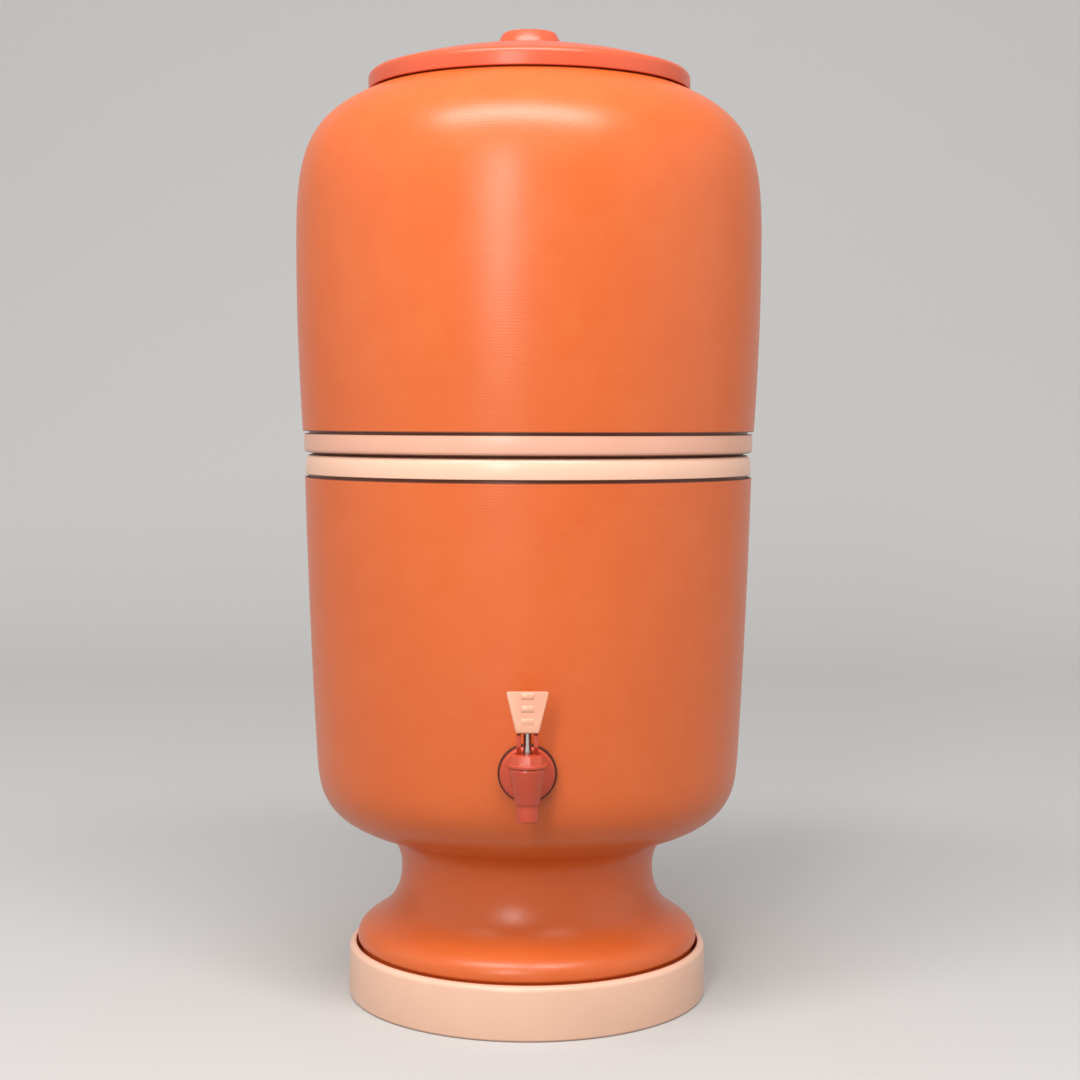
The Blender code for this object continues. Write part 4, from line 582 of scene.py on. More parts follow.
def finish_piece(solid, node, place=None):
    """Shades a solid, gives it its finish, puts it in place and lets it ride in place of its CAD node."""
    _, body, slot, kind = PIECES[node]
    mesh = solid.data
    mesh.materials.clear()
    mesh.materials.append(finish(slot, kind))
    mesh.shade_smooth()
    mesh.set_sharp_from_angle(angle=SHARP_ANGLE)
    if place is not None:
        solid.matrix_world = place
    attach(solid, body)
    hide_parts(node)


# Finishes


def scaled(tint, factor):
    """Colour with each channel multiplied by a factor."""
    return tuple(channel * factor for channel in tint)


class Recipe:
    """Node tree of one finish."""

    def __init__(self, name):
        self.material = bpy.data.materials.new(name)
        self.material.use_nodes = True
        self.tree = self.material.node_tree
        self.shader = self.tree.nodes["Principled BSDF"]
        self.coords = self.tree.nodes.new("ShaderNodeTexCoord").outputs["Object"]

    def feed(self, source, target):
        """Link from a socket, or a plain value, into an input."""
        if isinstance(source, bpy.types.NodeSocket):
            self.tree.links.new(source, target)
        else:
            target.default_value = source

    def node(self, kind, *sources, **values):
        """New node with its properties and inputs set; sources go into its first inputs in order."""
        made = self.tree.nodes.new(kind)
        for key, value in values.items():
            if hasattr(made, key):
                setattr(made, key, value)
            else:
                self.feed(value, made.inputs[key.replace("_", " ").title()])
        for source, target in zip(sources, made.inputs):
            self.feed(source, target)
        return made

    def noise(self, scale, detail=3.0, rough=0.55, coords=None):
        """Noise value."""
        coords = coords or self.coords
        made = self.node("ShaderNodeTexNoise", coords, scale=scale, detail=detail, roughness=rough)
        return made.outputs["Fac"]

    def stretched(self, across, along):
        """Coordinates scaled across and along the Z axis."""
        return self.node("ShaderNodeMapping", self.coords, scale=(across, across, along)).outputs["Vector"]

    def remap(self, value, low, high, new_low, new_high):
        """Value moved from one range to another, clamped."""
        return self.node("ShaderNodeMapRange", value, low, high, new_low, new_high).outputs["Result"]

    def blend(self, factor, first, second):
        """Colour between two colours or colour sockets."""
        made = self.node("ShaderNodeMix", factor, data_type="RGBA")
        for key, value in (("A", first), ("B", second)):
            socket = next(s for s in made.inputs if s.name == key and s.type == "RGBA")
            self.feed(value if isinstance(value, bpy.types.NodeSocket) else (*value, 1.0), socket)
        return next(s for s in made.outputs if s.type == "RGBA")

    def add(self, first, second, weight=1.0):
        """First value plus a share of the second."""
        return self.node("ShaderNodeMath", second, weight, first, operation="MULTIPLY_ADD").outputs[0]

    def times(self, first, second):
        """Product of two values."""
        return self.node("ShaderNodeMath", first, second, operation="MULTIPLY").outputs[0]

    def length_of(self, vector):
        """Length of a vector."""
        return self.node("ShaderNodeVectorMath", vector, operation="LENGTH").outputs["Value"]

    def bump(self, height, distance):
        """Relief from a height value."""
        made = self.node("ShaderNodeBump", distance=distance)
        self.feed(height, made.inputs["Height"])
        self.feed(made.outputs["Normal"], self.shader.inputs["Normal"])

    def shade(self, **values):
        """Sockets and constants on the shader's own inputs."""
        for key, value in values.items():
            self.feed(value, self.shader.inputs[key.replace("_", " ")])

    def grimed(self, tint):
        """Tint with painted shade in the lines over, between and under the rim rings."""
        rings, softness = settings().rings, 0.0003
        foot = rings.lower_top - rings.lower_band
        band = rings.upper_foot + rings.upper_band
        lines = (
            (foot - rings.line - 0.0002, foot + 0.0003),
            (rings.lower_top - rings.groove_half - 0.0001, rings.upper_foot + rings.groove_half + 0.0004),
            (band - 0.0001, band + rings.line + 0.0004),
        )
        axes = self.node("ShaderNodeSeparateXYZ", self.coords).outputs
        reach = self.length_of(self.node("ShaderNodeCombineXYZ", axes["X"], axes["Y"]).outputs[0])
        outside = self.remap(reach, 0.1200, 0.1205, 0.0, 1.0)
        # Each band is painted shade in one open joint, where shadow falls.
        for low, high in lines:
            over = self.remap(axes["Z"], low - softness, low, 0.0, 0.92)
            under = self.remap(axes["Z"], high, high + softness, 1.0, 0.0)
            tint = self.blend(self.times(self.times(over, under), outside), tint, rings.grime)
        return tint


def clay_finish(recipe):
    """Thrown clay rubbed smooth: fired patches, fine grain, pores and faint turning lines."""
    clay = settings().clay
    patches = recipe.remap(recipe.noise(11.0, 3.0), 0.36, 0.66, 0.0, 1.0)
    clouds = recipe.remap(recipe.noise(47.0, 4.0), 0.42, 0.72, 0.0, 0.40)
    mottle = recipe.noise(780.0, 5.0, 0.62)
    streaks = recipe.noise(1.0, 3.0, 0.6, recipe.stretched(9.0, 420.0))
    lines = recipe.node(
        "ShaderNodeTexWave", recipe.coords, wave_type="BANDS", bands_direction="Z",
        scale=math.tau / (20.0 * clay.turning_pitch), distortion=1.6, detail=2.0, detail_scale=0.35,
    )
    tint = recipe.blend(recipe.remap(patches, 0.0, 1.0, 0.0, 0.22), clay.body, clay.deep)
    tint = recipe.blend(recipe.times(clouds, recipe.remap(mottle, 0.35, 0.65, 0.2, 0.7)), tint, clay.pale)
    tint = recipe.blend(recipe.remap(streaks, 0.52, 0.75, 0.0, 0.12), tint, clay.pale)
    pores = recipe.remap(recipe.noise(1900.0, 2.0, 0.7), 0.66, 0.78, 0.0, 0.55)
    rubbed = recipe.remap(recipe.add(mottle, clouds, 0.5), 0.3, 0.9, clay.roughness, clay.roughness + 0.09)
    # The clay's colour carries painted shade in the lines by the rim rings.
    recipe.shade(Base_Color=recipe.grimed(recipe.blend(pores, tint, clay.deep)), Roughness=rubbed)
    relief = recipe.add(mottle, recipe.times(lines.outputs["Fac"], patches), 0.35)
    recipe.bump(recipe.add(relief, pores, -0.7), clay.grain)


def plastic_finish(recipe, body, roughness, grimed):
    """Moulded plastic: fine spark-eroded grain, slow shade changes and slightly uneven gloss."""
    shade = recipe.remap(recipe.noise(26.0, 3.0), 0.35, 0.7, 0.0, 0.5)
    grain = recipe.noise(900.0, 2.0, 0.5)
    paler = tuple(min(1.0, channel * 1.03 + 0.008) for channel in body)
    specks = recipe.remap(grain, 0.30, 0.80, 0.0, 0.16)
    tint = recipe.blend(specks, recipe.blend(shade, body, scaled(body, 0.90)), paler)
    handled = recipe.remap(recipe.noise(85.0, 3.0, 0.5), 0.35, 0.7, roughness, roughness + 0.07)
    # Where asked, the colour gets painted shade in the lines round the rim rings.
    recipe.shade(Base_Color=recipe.grimed(tint) if grimed else tint, Roughness=handled, IOR=1.49)
    recipe.bump(grain, settings().plastic.grain)


def ceramic_finish(recipe):
    """Porous candle ceramic with faint rings from its turning."""
    grain = recipe.noise(1300.0, 5.0, 0.7)
    stain = recipe.remap(recipe.noise(60.0, 4.0), 0.45, 0.75, 0.0, 0.6)
    rings = recipe.noise(1.0, 2.0, 0.5, recipe.stretched(12.0, 700.0))
    tint = recipe.blend(stain, settings().small.ceramic, (0.74, 0.68, 0.57))
    tint = recipe.blend(recipe.remap(grain, 0.58, 0.8, 0.0, 0.5), tint, (0.60, 0.55, 0.46))
    recipe.shade(Base_Color=tint, Roughness=recipe.remap(grain, 0.3, 0.7, 0.78, 0.95))
    recipe.bump(recipe.add(grain, rings, 0.6), 0.00012)


def carbon_finish(recipe):
    """Pressed carbon granules."""
    body = settings().small.carbon
    depth = recipe.node("ShaderNodeTexVoronoi", recipe.coords, scale=900.0).outputs["Distance"]
    tint = recipe.blend(recipe.remap(depth, 0.1, 0.7, 0.0, 1.0), scaled(body, 3.0), body)
    recipe.shade(Base_Color=tint, Roughness=recipe.remap(depth, 0.0, 0.7, 0.55, 0.95))
    recipe.bump(depth, 0.0004)


def rubber_finish(recipe):
    """Dull rubber with a dusty bloom."""
    bloom = recipe.remap(recipe.noise(240.0, 4.0, 0.65), 0.45, 0.8, 0.0, 0.5)
    tint = recipe.blend(bloom, settings().small.rubber, (0.135, 0.052, 0.038))
    recipe.shade(Base_Color=tint, Roughness=recipe.remap(bloom, 0.0, 0.5, 0.58, 0.78), Specular_IOR_Level=0.2)
    recipe.bump(recipe.noise(2400.0, 3.0, 0.6), 0.00003)


def steel_finish(recipe):
    """Drawn stainless steel with fine lines along its length."""
    body = settings().small.steel
    drawn = recipe.noise(1.0, 4.0, 0.7, recipe.stretched(5200.0, 60.0))
    worn = recipe.remap(recipe.noise(420.0, 3.0), 0.4, 0.7, 0.0, 1.0)
    tint = recipe.blend(recipe.times(drawn, worn), body, scaled(body, 0.72))
    recipe.shade(Base_Color=tint, Roughness=recipe.remap(drawn, 0.3, 0.7, 0.20, 0.38), Metallic=1.0)
    recipe.bump(drawn, 0.000015)


def finish(slot, kind):
    """Finish of a material slot, or of one kind of piece in it, made once."""
    name = f"{slot}{kind}_finish"
    if name in bpy.data.materials:
        return bpy.data.materials[name]
    plastic = settings().plastic
    gloss = plastic.gloss_roughness
    plastics = {
        # The last value of each plastic says whether it gets painted shade in the lines round the rim rings.
        "peach_plastic": (plastic.peach, gloss, True),
        "peach_plastic_upper": (plastic.ring_peach, gloss, True),
        "peach_plastic_lever": (plastic.lever_peach, gloss, False),
        "red_plastic": (plastic.red, gloss, False),
        "red_plastic_tap": (plastic.tap_red, gloss, False),
        "white_plastic": (plastic.white, plastic.white_roughness, False),
    }
    others = {
        "terracotta": clay_finish,
        "candle_ceramic": ceramic_finish,
        "active_carbon": carbon_finish,
        "dark_rubber": rubber_finish,
        "steel": steel_finish,
    }
    recipe = Recipe(name)
    if slot in others:
        others[slot](recipe)
    else:
        plastic_finish(recipe, *plastics[slot + kind])
    return recipe.material


# Measures that several pieces share


def lower_heights():
    """Heights of the lower chamber's profile, from the foot edge up."""
    lower = settings().lower
    foot_edge = settings().stand.height + lower.foot_edge_rise
    waist = foot_edge + lower.waist_rise
    crease = waist + lower.crease_rise
    bowl = crease + lower.bowl_rise
    side_top = bowl + lower.side_rise
    return {"foot_edge": foot_edge, "waist": waist, "crease": crease, "bowl": bowl, "side_top": side_top}


def lower_wall(inwards, crease, pull, heading, end_pull):
    """Bowl's outline from the rim ring down to the crease, set inwards from the clay's outside."""
    lower, z = settings().lower, lower_heights()
    top = (lower.top_radius - inwards, z["side_top"])
    turn = (lower.bowl_radius - inwards, z["bowl"])
    side = curve(top, -91.2, 0.31, turn, -93.4, 0.24)
    return [top] + side + curve(turn, -93.4, pull, crease, heading, end_pull)


def lower_wall_outside():
    """Outside of the lower bowl, from under the rim ring down to the crease over the waist."""
    return lower_wall(0.0, (settings().lower.crease_radius, lower_heights()["crease"]), 0.335, -164.4, 0.60)


def lower_wall_inside():
    """Inside of the lower bowl, from its mouth down to the flat of its floor."""
    lower, z = settings().lower, lower_heights()
    floor = (lower.crease_radius - 0.0110, z["crease"] + lower.clay_wall - 0.0010)
    return lower_wall(lower.clay_wall, floor, 0.46, 180, 0.50)


def mouth_radius_of_lower():
    """Radius of the lower chamber's mouth."""
    return settings().lower.top_radius - settings().lower.clay_wall


def ring_leg_radius():
    """Inner radius of the lower ring's inner leg."""
    return mouth_radius_of_lower() - SEAT_GAP - settings().rings.wall


def spigot_radius():
    """Radius of the upper chamber's spigot."""
    return ring_leg_radius() - 0.0058


def tap_place():
    """Where the tap's upright axis meets its shank's axis."""
    low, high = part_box("tap_stem")
    return Vector(((low.x + high.x) / 2, (low.y + high.y) / 2, lower_heights()["foot_edge"] + 0.1175))


def tap_reach():
    """From the tap's upright axis back to the clay."""
    return -tap_place().y - radius_at(lower_wall_outside(), tap_place().z)


def lever_pin():
    """Height, radius and ends of the lever's pin."""
    low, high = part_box("tap_lever_pin")
    return (low.z + high.z) / 2, (high.z - low.z) / 2, low.x, high.x


def lever_place():
    """Where the lever's pin crosses the rod."""
    return Matrix.Translation((tap_place().x, tap_place().y, lever_pin()[0]))


# Operators


class WATERFILTER_OT_base_stand(Operator):
    """Moulded dish under the foot, with its ribs and centre boss"""

    bl_idname = "water_filter.base_stand"
    bl_label = "Base Stand"

    def execute(self, context):
        stand = settings().stand
        inner = settings().lower.foot_radius + stand.clearance
        top = inner + stand.wall
        bottom = top + stand.draft
        floor_top = stand.height - stand.dish_depth
        floor_under = floor_top - stand.floor
        rim_inner = bottom - stand.edge_rounding - 0.0050
        outline = line(
            (0, 0), (stand.boss_radius, 0, 0.0008), (stand.boss_radius, floor_under),
            (rim_inner, floor_under, 0.0010), (rim_inner, 0, 0.0006), (bottom, 0, stand.edge_rounding),
            (top, stand.height, stand.lip_rounding), (inner, stand.height, 0.0004),
            (inner, floor_top, 0.0008), (0, floor_top),
        )
        ribs, rib_half = [], 0.0012
        for index in range(stand.rib_count):
            face = rectangle(stand.boss_radius * 0.8, -rib_half, rim_inner + 0.0025, rib_half)
            rib = prism(face, 0.0005, floor_under + stand.floor / 2, "XY", 0.0003)
            ribs.append(turned(rib, 360 * (index + 0.5) / stand.rib_count, "Z"))
        make("base_stand", pot_turned(outline), ribs)
        return {"FINISHED"}


class WATERFILTER_OT_lower_chamber(Operator):
    """Thrown clay bowl on its hollow pedestal foot"""

    bl_idname = "water_filter.lower_chamber"
    bl_label = "Lower Chamber"

    def execute(self, context):
        lower, z, rings = settings().lower, lower_heights(), settings().rings
        waist = (lower.waist_radius, z["waist"])
        shoulder = (lower.foot_shoulder_radius, z["foot_edge"] + lower.foot_shoulder_rise)
        edge = (lower.foot_radius, z["foot_edge"])
        outside, inside = lower_wall_outside(), lower_wall_inside()
        neck = curve(outside[-1], -164.4, 0.35, waist, -90, 0.40)
        flare = curve(waist, -90, 0.49, shoulder, -39.4, 0.23)
        roll = curve(shoulder, -39.4, 0.40, edge, -90, 0.35)
        foot_neck = (lower.foot_radius - lower.foot_set_back, z["foot_edge"] - lower.foot_roll)
        roll += curve(edge, -90, 0.50, foot_neck, -150, 0.50, 8)
        hollow_radius, throat_radius = lower.foot_radius - 0.0100, lower.waist_radius - 0.0100
        ceiling = inside[-1][1] - 0.0120
        throat_top, throat = (throat_radius, z["waist"]), (throat_radius, z["waist"] - 0.0100)
        under_z = foot_of("lower_chamber")
        hollow = [(0, ceiling)] + corner_arc((0, ceiling), (throat_radius * 0.95, ceiling), throat_top, 0.006)
        hollow += [throat_top, throat] + curve(throat, -90, 0.45, (hollow_radius, z["foot_edge"]), -90, 0.40)
        hollow += corner_arc(hollow[-1], (hollow_radius, under_z), (foot_neck[0], under_z), 0.0008)
        under = corner_arc(hollow[-1], (foot_neck[0], under_z), foot_neck, 0.0030)
        rim_radius = rings.lower_radius - rings.wall - SEAT_GAP
        mouth = mouth_radius_of_lower()
        rim = line(
            (lower.top_radius, z["side_top"]), (rim_radius, z["side_top"]),
            (rim_radius, lower.rim_height, 0.0008), (mouth, lower.rim_height, 0.0008), (mouth, z["side_top"]),
        )[1:-1]
        outer = (outside + neck + flare + roll)[::-1]
        outline = hollow + under + outer + rim + inside[1:] + [(0, inside[-1][1])]
        hole = cylinder(settings().tap.shank_radius + 0.0011, -lower.top_radius - lower.clay_wall, 0)
        make("lower_chamber", pot_turned(outline), cut=[moved(turned(hole, -90, "X"), (0, 0, tap_place().z))])
        return {"FINISHED"}


class WATERFILTER_OT_rim_rings(Operator):
    """The two plastic rings where the chambers meet"""

    bl_idname = "water_filter.rim_rings"
    bl_label = "Rim Rings"

    def execute(self, context):
        rings = settings().rings
        leg, leg_outer = ring_leg_radius(), mouth_radius_of_lower() - SEAT_GAP
        leg_foot = rings.lower_top - 0.0115
        inner = rings.lower_radius - rings.wall
        web = rings.lower_top - rings.top
        foot = rings.lower_top - rings.lower_band
        start = (rings.lower_radius, foot + rings.brow_rise)
        end = (rings.lower_radius - rings.brow_depth, rings.lower_top - rings.groove_half)
        groove = rings.lower_radius - rings.groove_depth
        channel = loop(
            (inner, foot, 0.0003), (rings.lower_radius, foot, rings.rounding / 2), start,
            *curve(start, 90, 0.55, end, 168, 0.30),
            (groove, end[1], 0.0003), (groove, rings.lower_top, 0.0002),
            (leg, rings.lower_top, rings.rounding), (leg, leg_foot, 0.0005), (leg_outer, leg_foot, 0.0005),
            (leg_outer, web, 0.0003), (inner, web, 0.0003),
        )
        make("lower_rim_ring", pot_turned(channel, True))
        inner = spigot_radius() + SEAT_GAP
        outer = rings.upper_radius - rings.wall
        web = rings.upper_foot + rings.top
        band = rings.upper_foot + rings.upper_band
        groove, groove_top = rings.upper_radius - rings.groove_depth, rings.upper_foot + rings.groove_half
        section = loop(
            (inner, rings.upper_foot, rings.rounding / 2), (groove, rings.upper_foot, 0.0002),
            (groove, groove_top, 0.0003), (rings.upper_radius, groove_top, rings.lip_rounding),
            (rings.upper_radius, band, rings.rounding / 2), (outer, band, 0.0003), (outer, web, 0.0003),
            (inner, web, 0.0003),
        )
        make("upper_rim_ring", pot_turned(section, True))
        return {"FINISHED"}


class WATERFILTER_OT_upper_chamber(Operator):
    """Clay chamber with a round shoulder, a wide mouth and a spigot below"""

    bl_idname = "water_filter.upper_chamber"
    bl_label = "Upper Chamber"

    def execute(self, context):
        upper, rings, wall = settings().upper, settings().rings, settings().lower.clay_wall
        edge_z = rings.upper_foot + rings.upper_band + rings.line
        step_z = rings.upper_foot + rings.top + SEAT_GAP
        top = (upper.shoulder_top_radius, upper.mouth_height - upper.neck_rise)
        belly = (upper.belly_radius, top[1] - upper.shoulder_rise)
        shoulder = curve(top, -21.5, 0.434, belly, -90, 0.515, 2 * settings().smoothness.curve_steps)
        side = curve(belly, -90, 0.331, (upper.bottom_radius, edge_z), -93.5, 0.381)
        inner_top = (upper.mouth_radius, upper.mouth_height - 0.0120)
        mouth = line(
            inner_top, (upper.mouth_radius, upper.mouth_height, 0.0018),
            (upper.neck_radius, upper.mouth_height, 0.0018),
            (upper.neck_radius, top[1] + (upper.mouth_height - top[1]) * 0.4, 0.0008), top,
        )
        spigot = spigot_radius()
        rim_radius = rings.upper_radius - rings.wall - SEAT_GAP
        step = [(rim_radius, edge_z), (rim_radius, step_z), (spigot, step_z)]
        under = corner_arc(step[-1], (spigot, upper.under_height), (0, upper.under_height), 0.0060)
        floor_z = upper.under_height + upper.floor
        hole_radius = 0.0065
        hole = [(hole_radius, upper.under_height), (hole_radius, floor_z)]
        bore, ledge_z = spigot - wall, step_z + wall * 0.35
        floor = corner_arc(hole[-1], (bore, floor_z), (bore, ledge_z), 0.0120)
        ledge = [(bore, ledge_z), (upper.bottom_radius - wall, ledge_z + 0.0200)]
        inner_belly = (belly[0] - wall, belly[1])
        inner_side = curve(ledge[-1], 86.5, 0.381, inner_belly, 90, 0.331)
        inner_shoulder = curve(inner_belly, 90, 0.50, inner_top, 158.5, 0.40)
        inside = floor + ledge + inner_side + inner_shoulder[:-1]
        outline = mouth + shoulder + side + step + under + hole + inside
        make("upper_chamber", pot_turned(outline, True))
        return {"FINISHED"}


class WATERFILTER_OT_lid(Operator):
    """Moulded lid with its knob, skirt and spigot"""

    bl_idname = "water_filter.lid"
    bl_label = "Lid"

    def execute(self, context):
        lid, upper = settings().lid, settings().upper
        seat_z = upper.mouth_height + SEAT_GAP
        dome_top = lid.top - lid.knob_rise
        skirt_z, plate = upper.mouth_height - 0.0052, seat_z + 0.0052 - lid.shell
        knob_foot = lid.knob_radius + 0.0024
        spigot_outer = upper.mouth_radius - 0.0007
        spigot_inner, spigot_foot = spigot_outer - 0.0020, seat_z - 0.0100
        seat_outer = upper.neck_radius - 0.0018
        seat_inner = seat_outer - 0.0018
        inner_skirt = lid.radius - lid.shell
        dome_radius = lid.radius - lid.edge_rounding

        def dome_point(radius, depth):
            """Point of the shallow dome, or below it."""
            return radius, dome_top - lid.dome_rise * (radius / dome_radius) ** 2 - depth

        knob = line(
            (0, lid.top), (lid.knob_radius, lid.top - 0.0006, lid.knob_rounding),
            (knob_foot, dome_top + 0.0044),
        )
        fillet = curve(knob[-1], -65, 0.35, dome_point(knob_foot + 0.0044, 0), -3.5, 0.45, 8)
        dome = [dome_point(dome_radius * (0.34 + 0.06 * step), 0) for step in range(10)]
        edge_top = (lid.radius, dome_top - lid.dome_rise - 0.0012)
        edge = corner_arc(dome[-1], edge_top, (lid.radius, skirt_z), lid.edge_rounding)
        skirt = line(
            (lid.radius, skirt_z, 0.0005), (inner_skirt, skirt_z, 0.0005), (inner_skirt, plate, 0.0015),
            (seat_outer, plate), (seat_outer, seat_z, 0.0003), (seat_inner, seat_z, 0.0003),
            (seat_inner, plate), (spigot_outer, plate), (spigot_outer, spigot_foot, 0.0008),
            (spigot_inner, spigot_foot, 0.0004), (spigot_inner, plate),
        )[:-1]
        skirt[0:1] = corner_arc(edge[-1], (lid.radius, skirt_z), (inner_skirt, skirt_z), 0.0005)
        inner_foot = knob_foot - lid.shell * 0.5
        radii = [spigot_inner + (inner_foot - spigot_inner) * step / 8 for step in range(9)]
        inner_dome = [dome_point(radius, lid.shell) for radius in radii]
        knob_under = lid.top - 0.0006 - lid.shell
        hollow = corner_arc(inner_dome[-1], (lid.knob_radius - lid.shell, knob_under), (0, knob_under), 0.0012)
        hollow.append((0, knob_under))
        make("lid", pot_turned(knob + fillet + dome + edge + skirt + inner_dome + hollow))
        return {"FINISHED"}


class WATERFILTER_OT_candle(Operator):
    """Ceramic candle with its plastic foot, threaded stem, washers and wing nut"""

    bl_idname = "water_filter.candle"
    bl_label = "Filter Candle"

    def execute(self, context):
        candle = settings().candle
        stem, pitch = candle.stem_radius, candle.thread_pitch
        base_z, stem_end = top_of("candle_washer") + SEAT_GAP, foot_of("candle_base")
        plate_top, cup_top = base_z + 0.0030, base_z + candle.foot_height
        cup_inner = candle.radius + SEAT_GAP
        cup_outer = cup_inner + 0.0020
        thread_low, thread_high, water_way = stem_end + 0.0010, base_z - 0.0050, 0.0022
        foot = [(water_way, stem_end), (stem - 0.0007, stem_end)]
        for index in range(int((thread_high - thread_low) / pitch)):
            z = thread_low + index * pitch
            foot += [(stem - 0.0005, z), (stem, z + pitch / 2)]
        foot += [(stem - 0.0005, thread_high), (stem - 0.0002, thread_high + 0.0005)]
        foot += line(
            (stem - 0.0002, base_z - 0.0040), (stem - 0.0002, base_z), (cup_outer, base_z, 0.0015),
            (cup_outer, cup_top, 0.0008), (cup_inner, cup_top, 0.0004), (cup_inner, plate_top),
            (water_way, plate_top),
        )
        grips, grip_count, grip_inset = [], 24, 0.0022
        for index in range(grip_count):
            grip = cylinder(0.0007, base_z + grip_inset, cup_top - grip_inset, 0.0003)
            grips.append(moved(grip, (*polar(cup_outer + 0.0003, 360 / grip_count * index), 0)))
        make("candle_base", small_turned(foot, True), cut=grips)

        seat, inner = plate_top + SEAT_GAP, candle.radius - candle.wall
        dome_z = seat + candle.side
        shell = [(r, dome_z + z) for r, z in (polar(inner, 90 - 9 * step) for step in range(11))]
        shell[0] = (0, dome_z + inner)
        shell += corner_arc(shell[-1], (inner, seat), (candle.radius, seat), 0.0008)
        shell += corner_arc((inner, seat), (candle.radius, seat), (candle.radius, dome_z), 0.0008)
        shell += [(r, dome_z + z) for r, z in (polar(candle.radius, 9 * step) for step in range(10))]
        make("candle_shell", small_turned(shell + [(0, dome_z + candle.radius)]))

        top, radius = top_of("candle_core"), inner - 2 * SEAT_GAP
        pack = line((0, seat), (radius, seat, 0.001), (radius, top, 0.004), (0, top))
        make("candle_core", small_turned(pack))

        hole = stem + RUNNING_GAP
        for node in ("candle_washer", "candle_lower_washer"):
            low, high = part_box(node)
            section = loop(
                (hole, low.z, 0.0002), (high.x, low.z, 0.0006), (high.x, high.z, 0.0006),
                (hole, high.z, 0.0002),
            )
            make(node, small_turned(section, True))

        low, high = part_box("candle_wing_nut")
        height = high.z - low.z
        buried, hub_radius, wing_half = 0.0051, 0.0085, 0.0014
        wing = loop(
            (buried, 0.002), (0.0150, 0.001, 0.002), (high.x, height - 0.001, 0.003),
            (high.x - 0.006, height - 0.0005, 0.002), (buried, height - 0.004),
        )
        nut = cylinder(hub_radius, 0, height, 0.0008)
        wings = [turned(prism(wing, -wing_half, wing_half, "XZ", 0.0005), side, "Z") for side in (0, 180)]
        bore = cylinder(hole, -CUT_MARGIN, height + CUT_MARGIN)
        make("candle_wing_nut", nut, wings, [bore], Matrix.Translation((0, 0, low.z)))
        return {"FINISHED"}


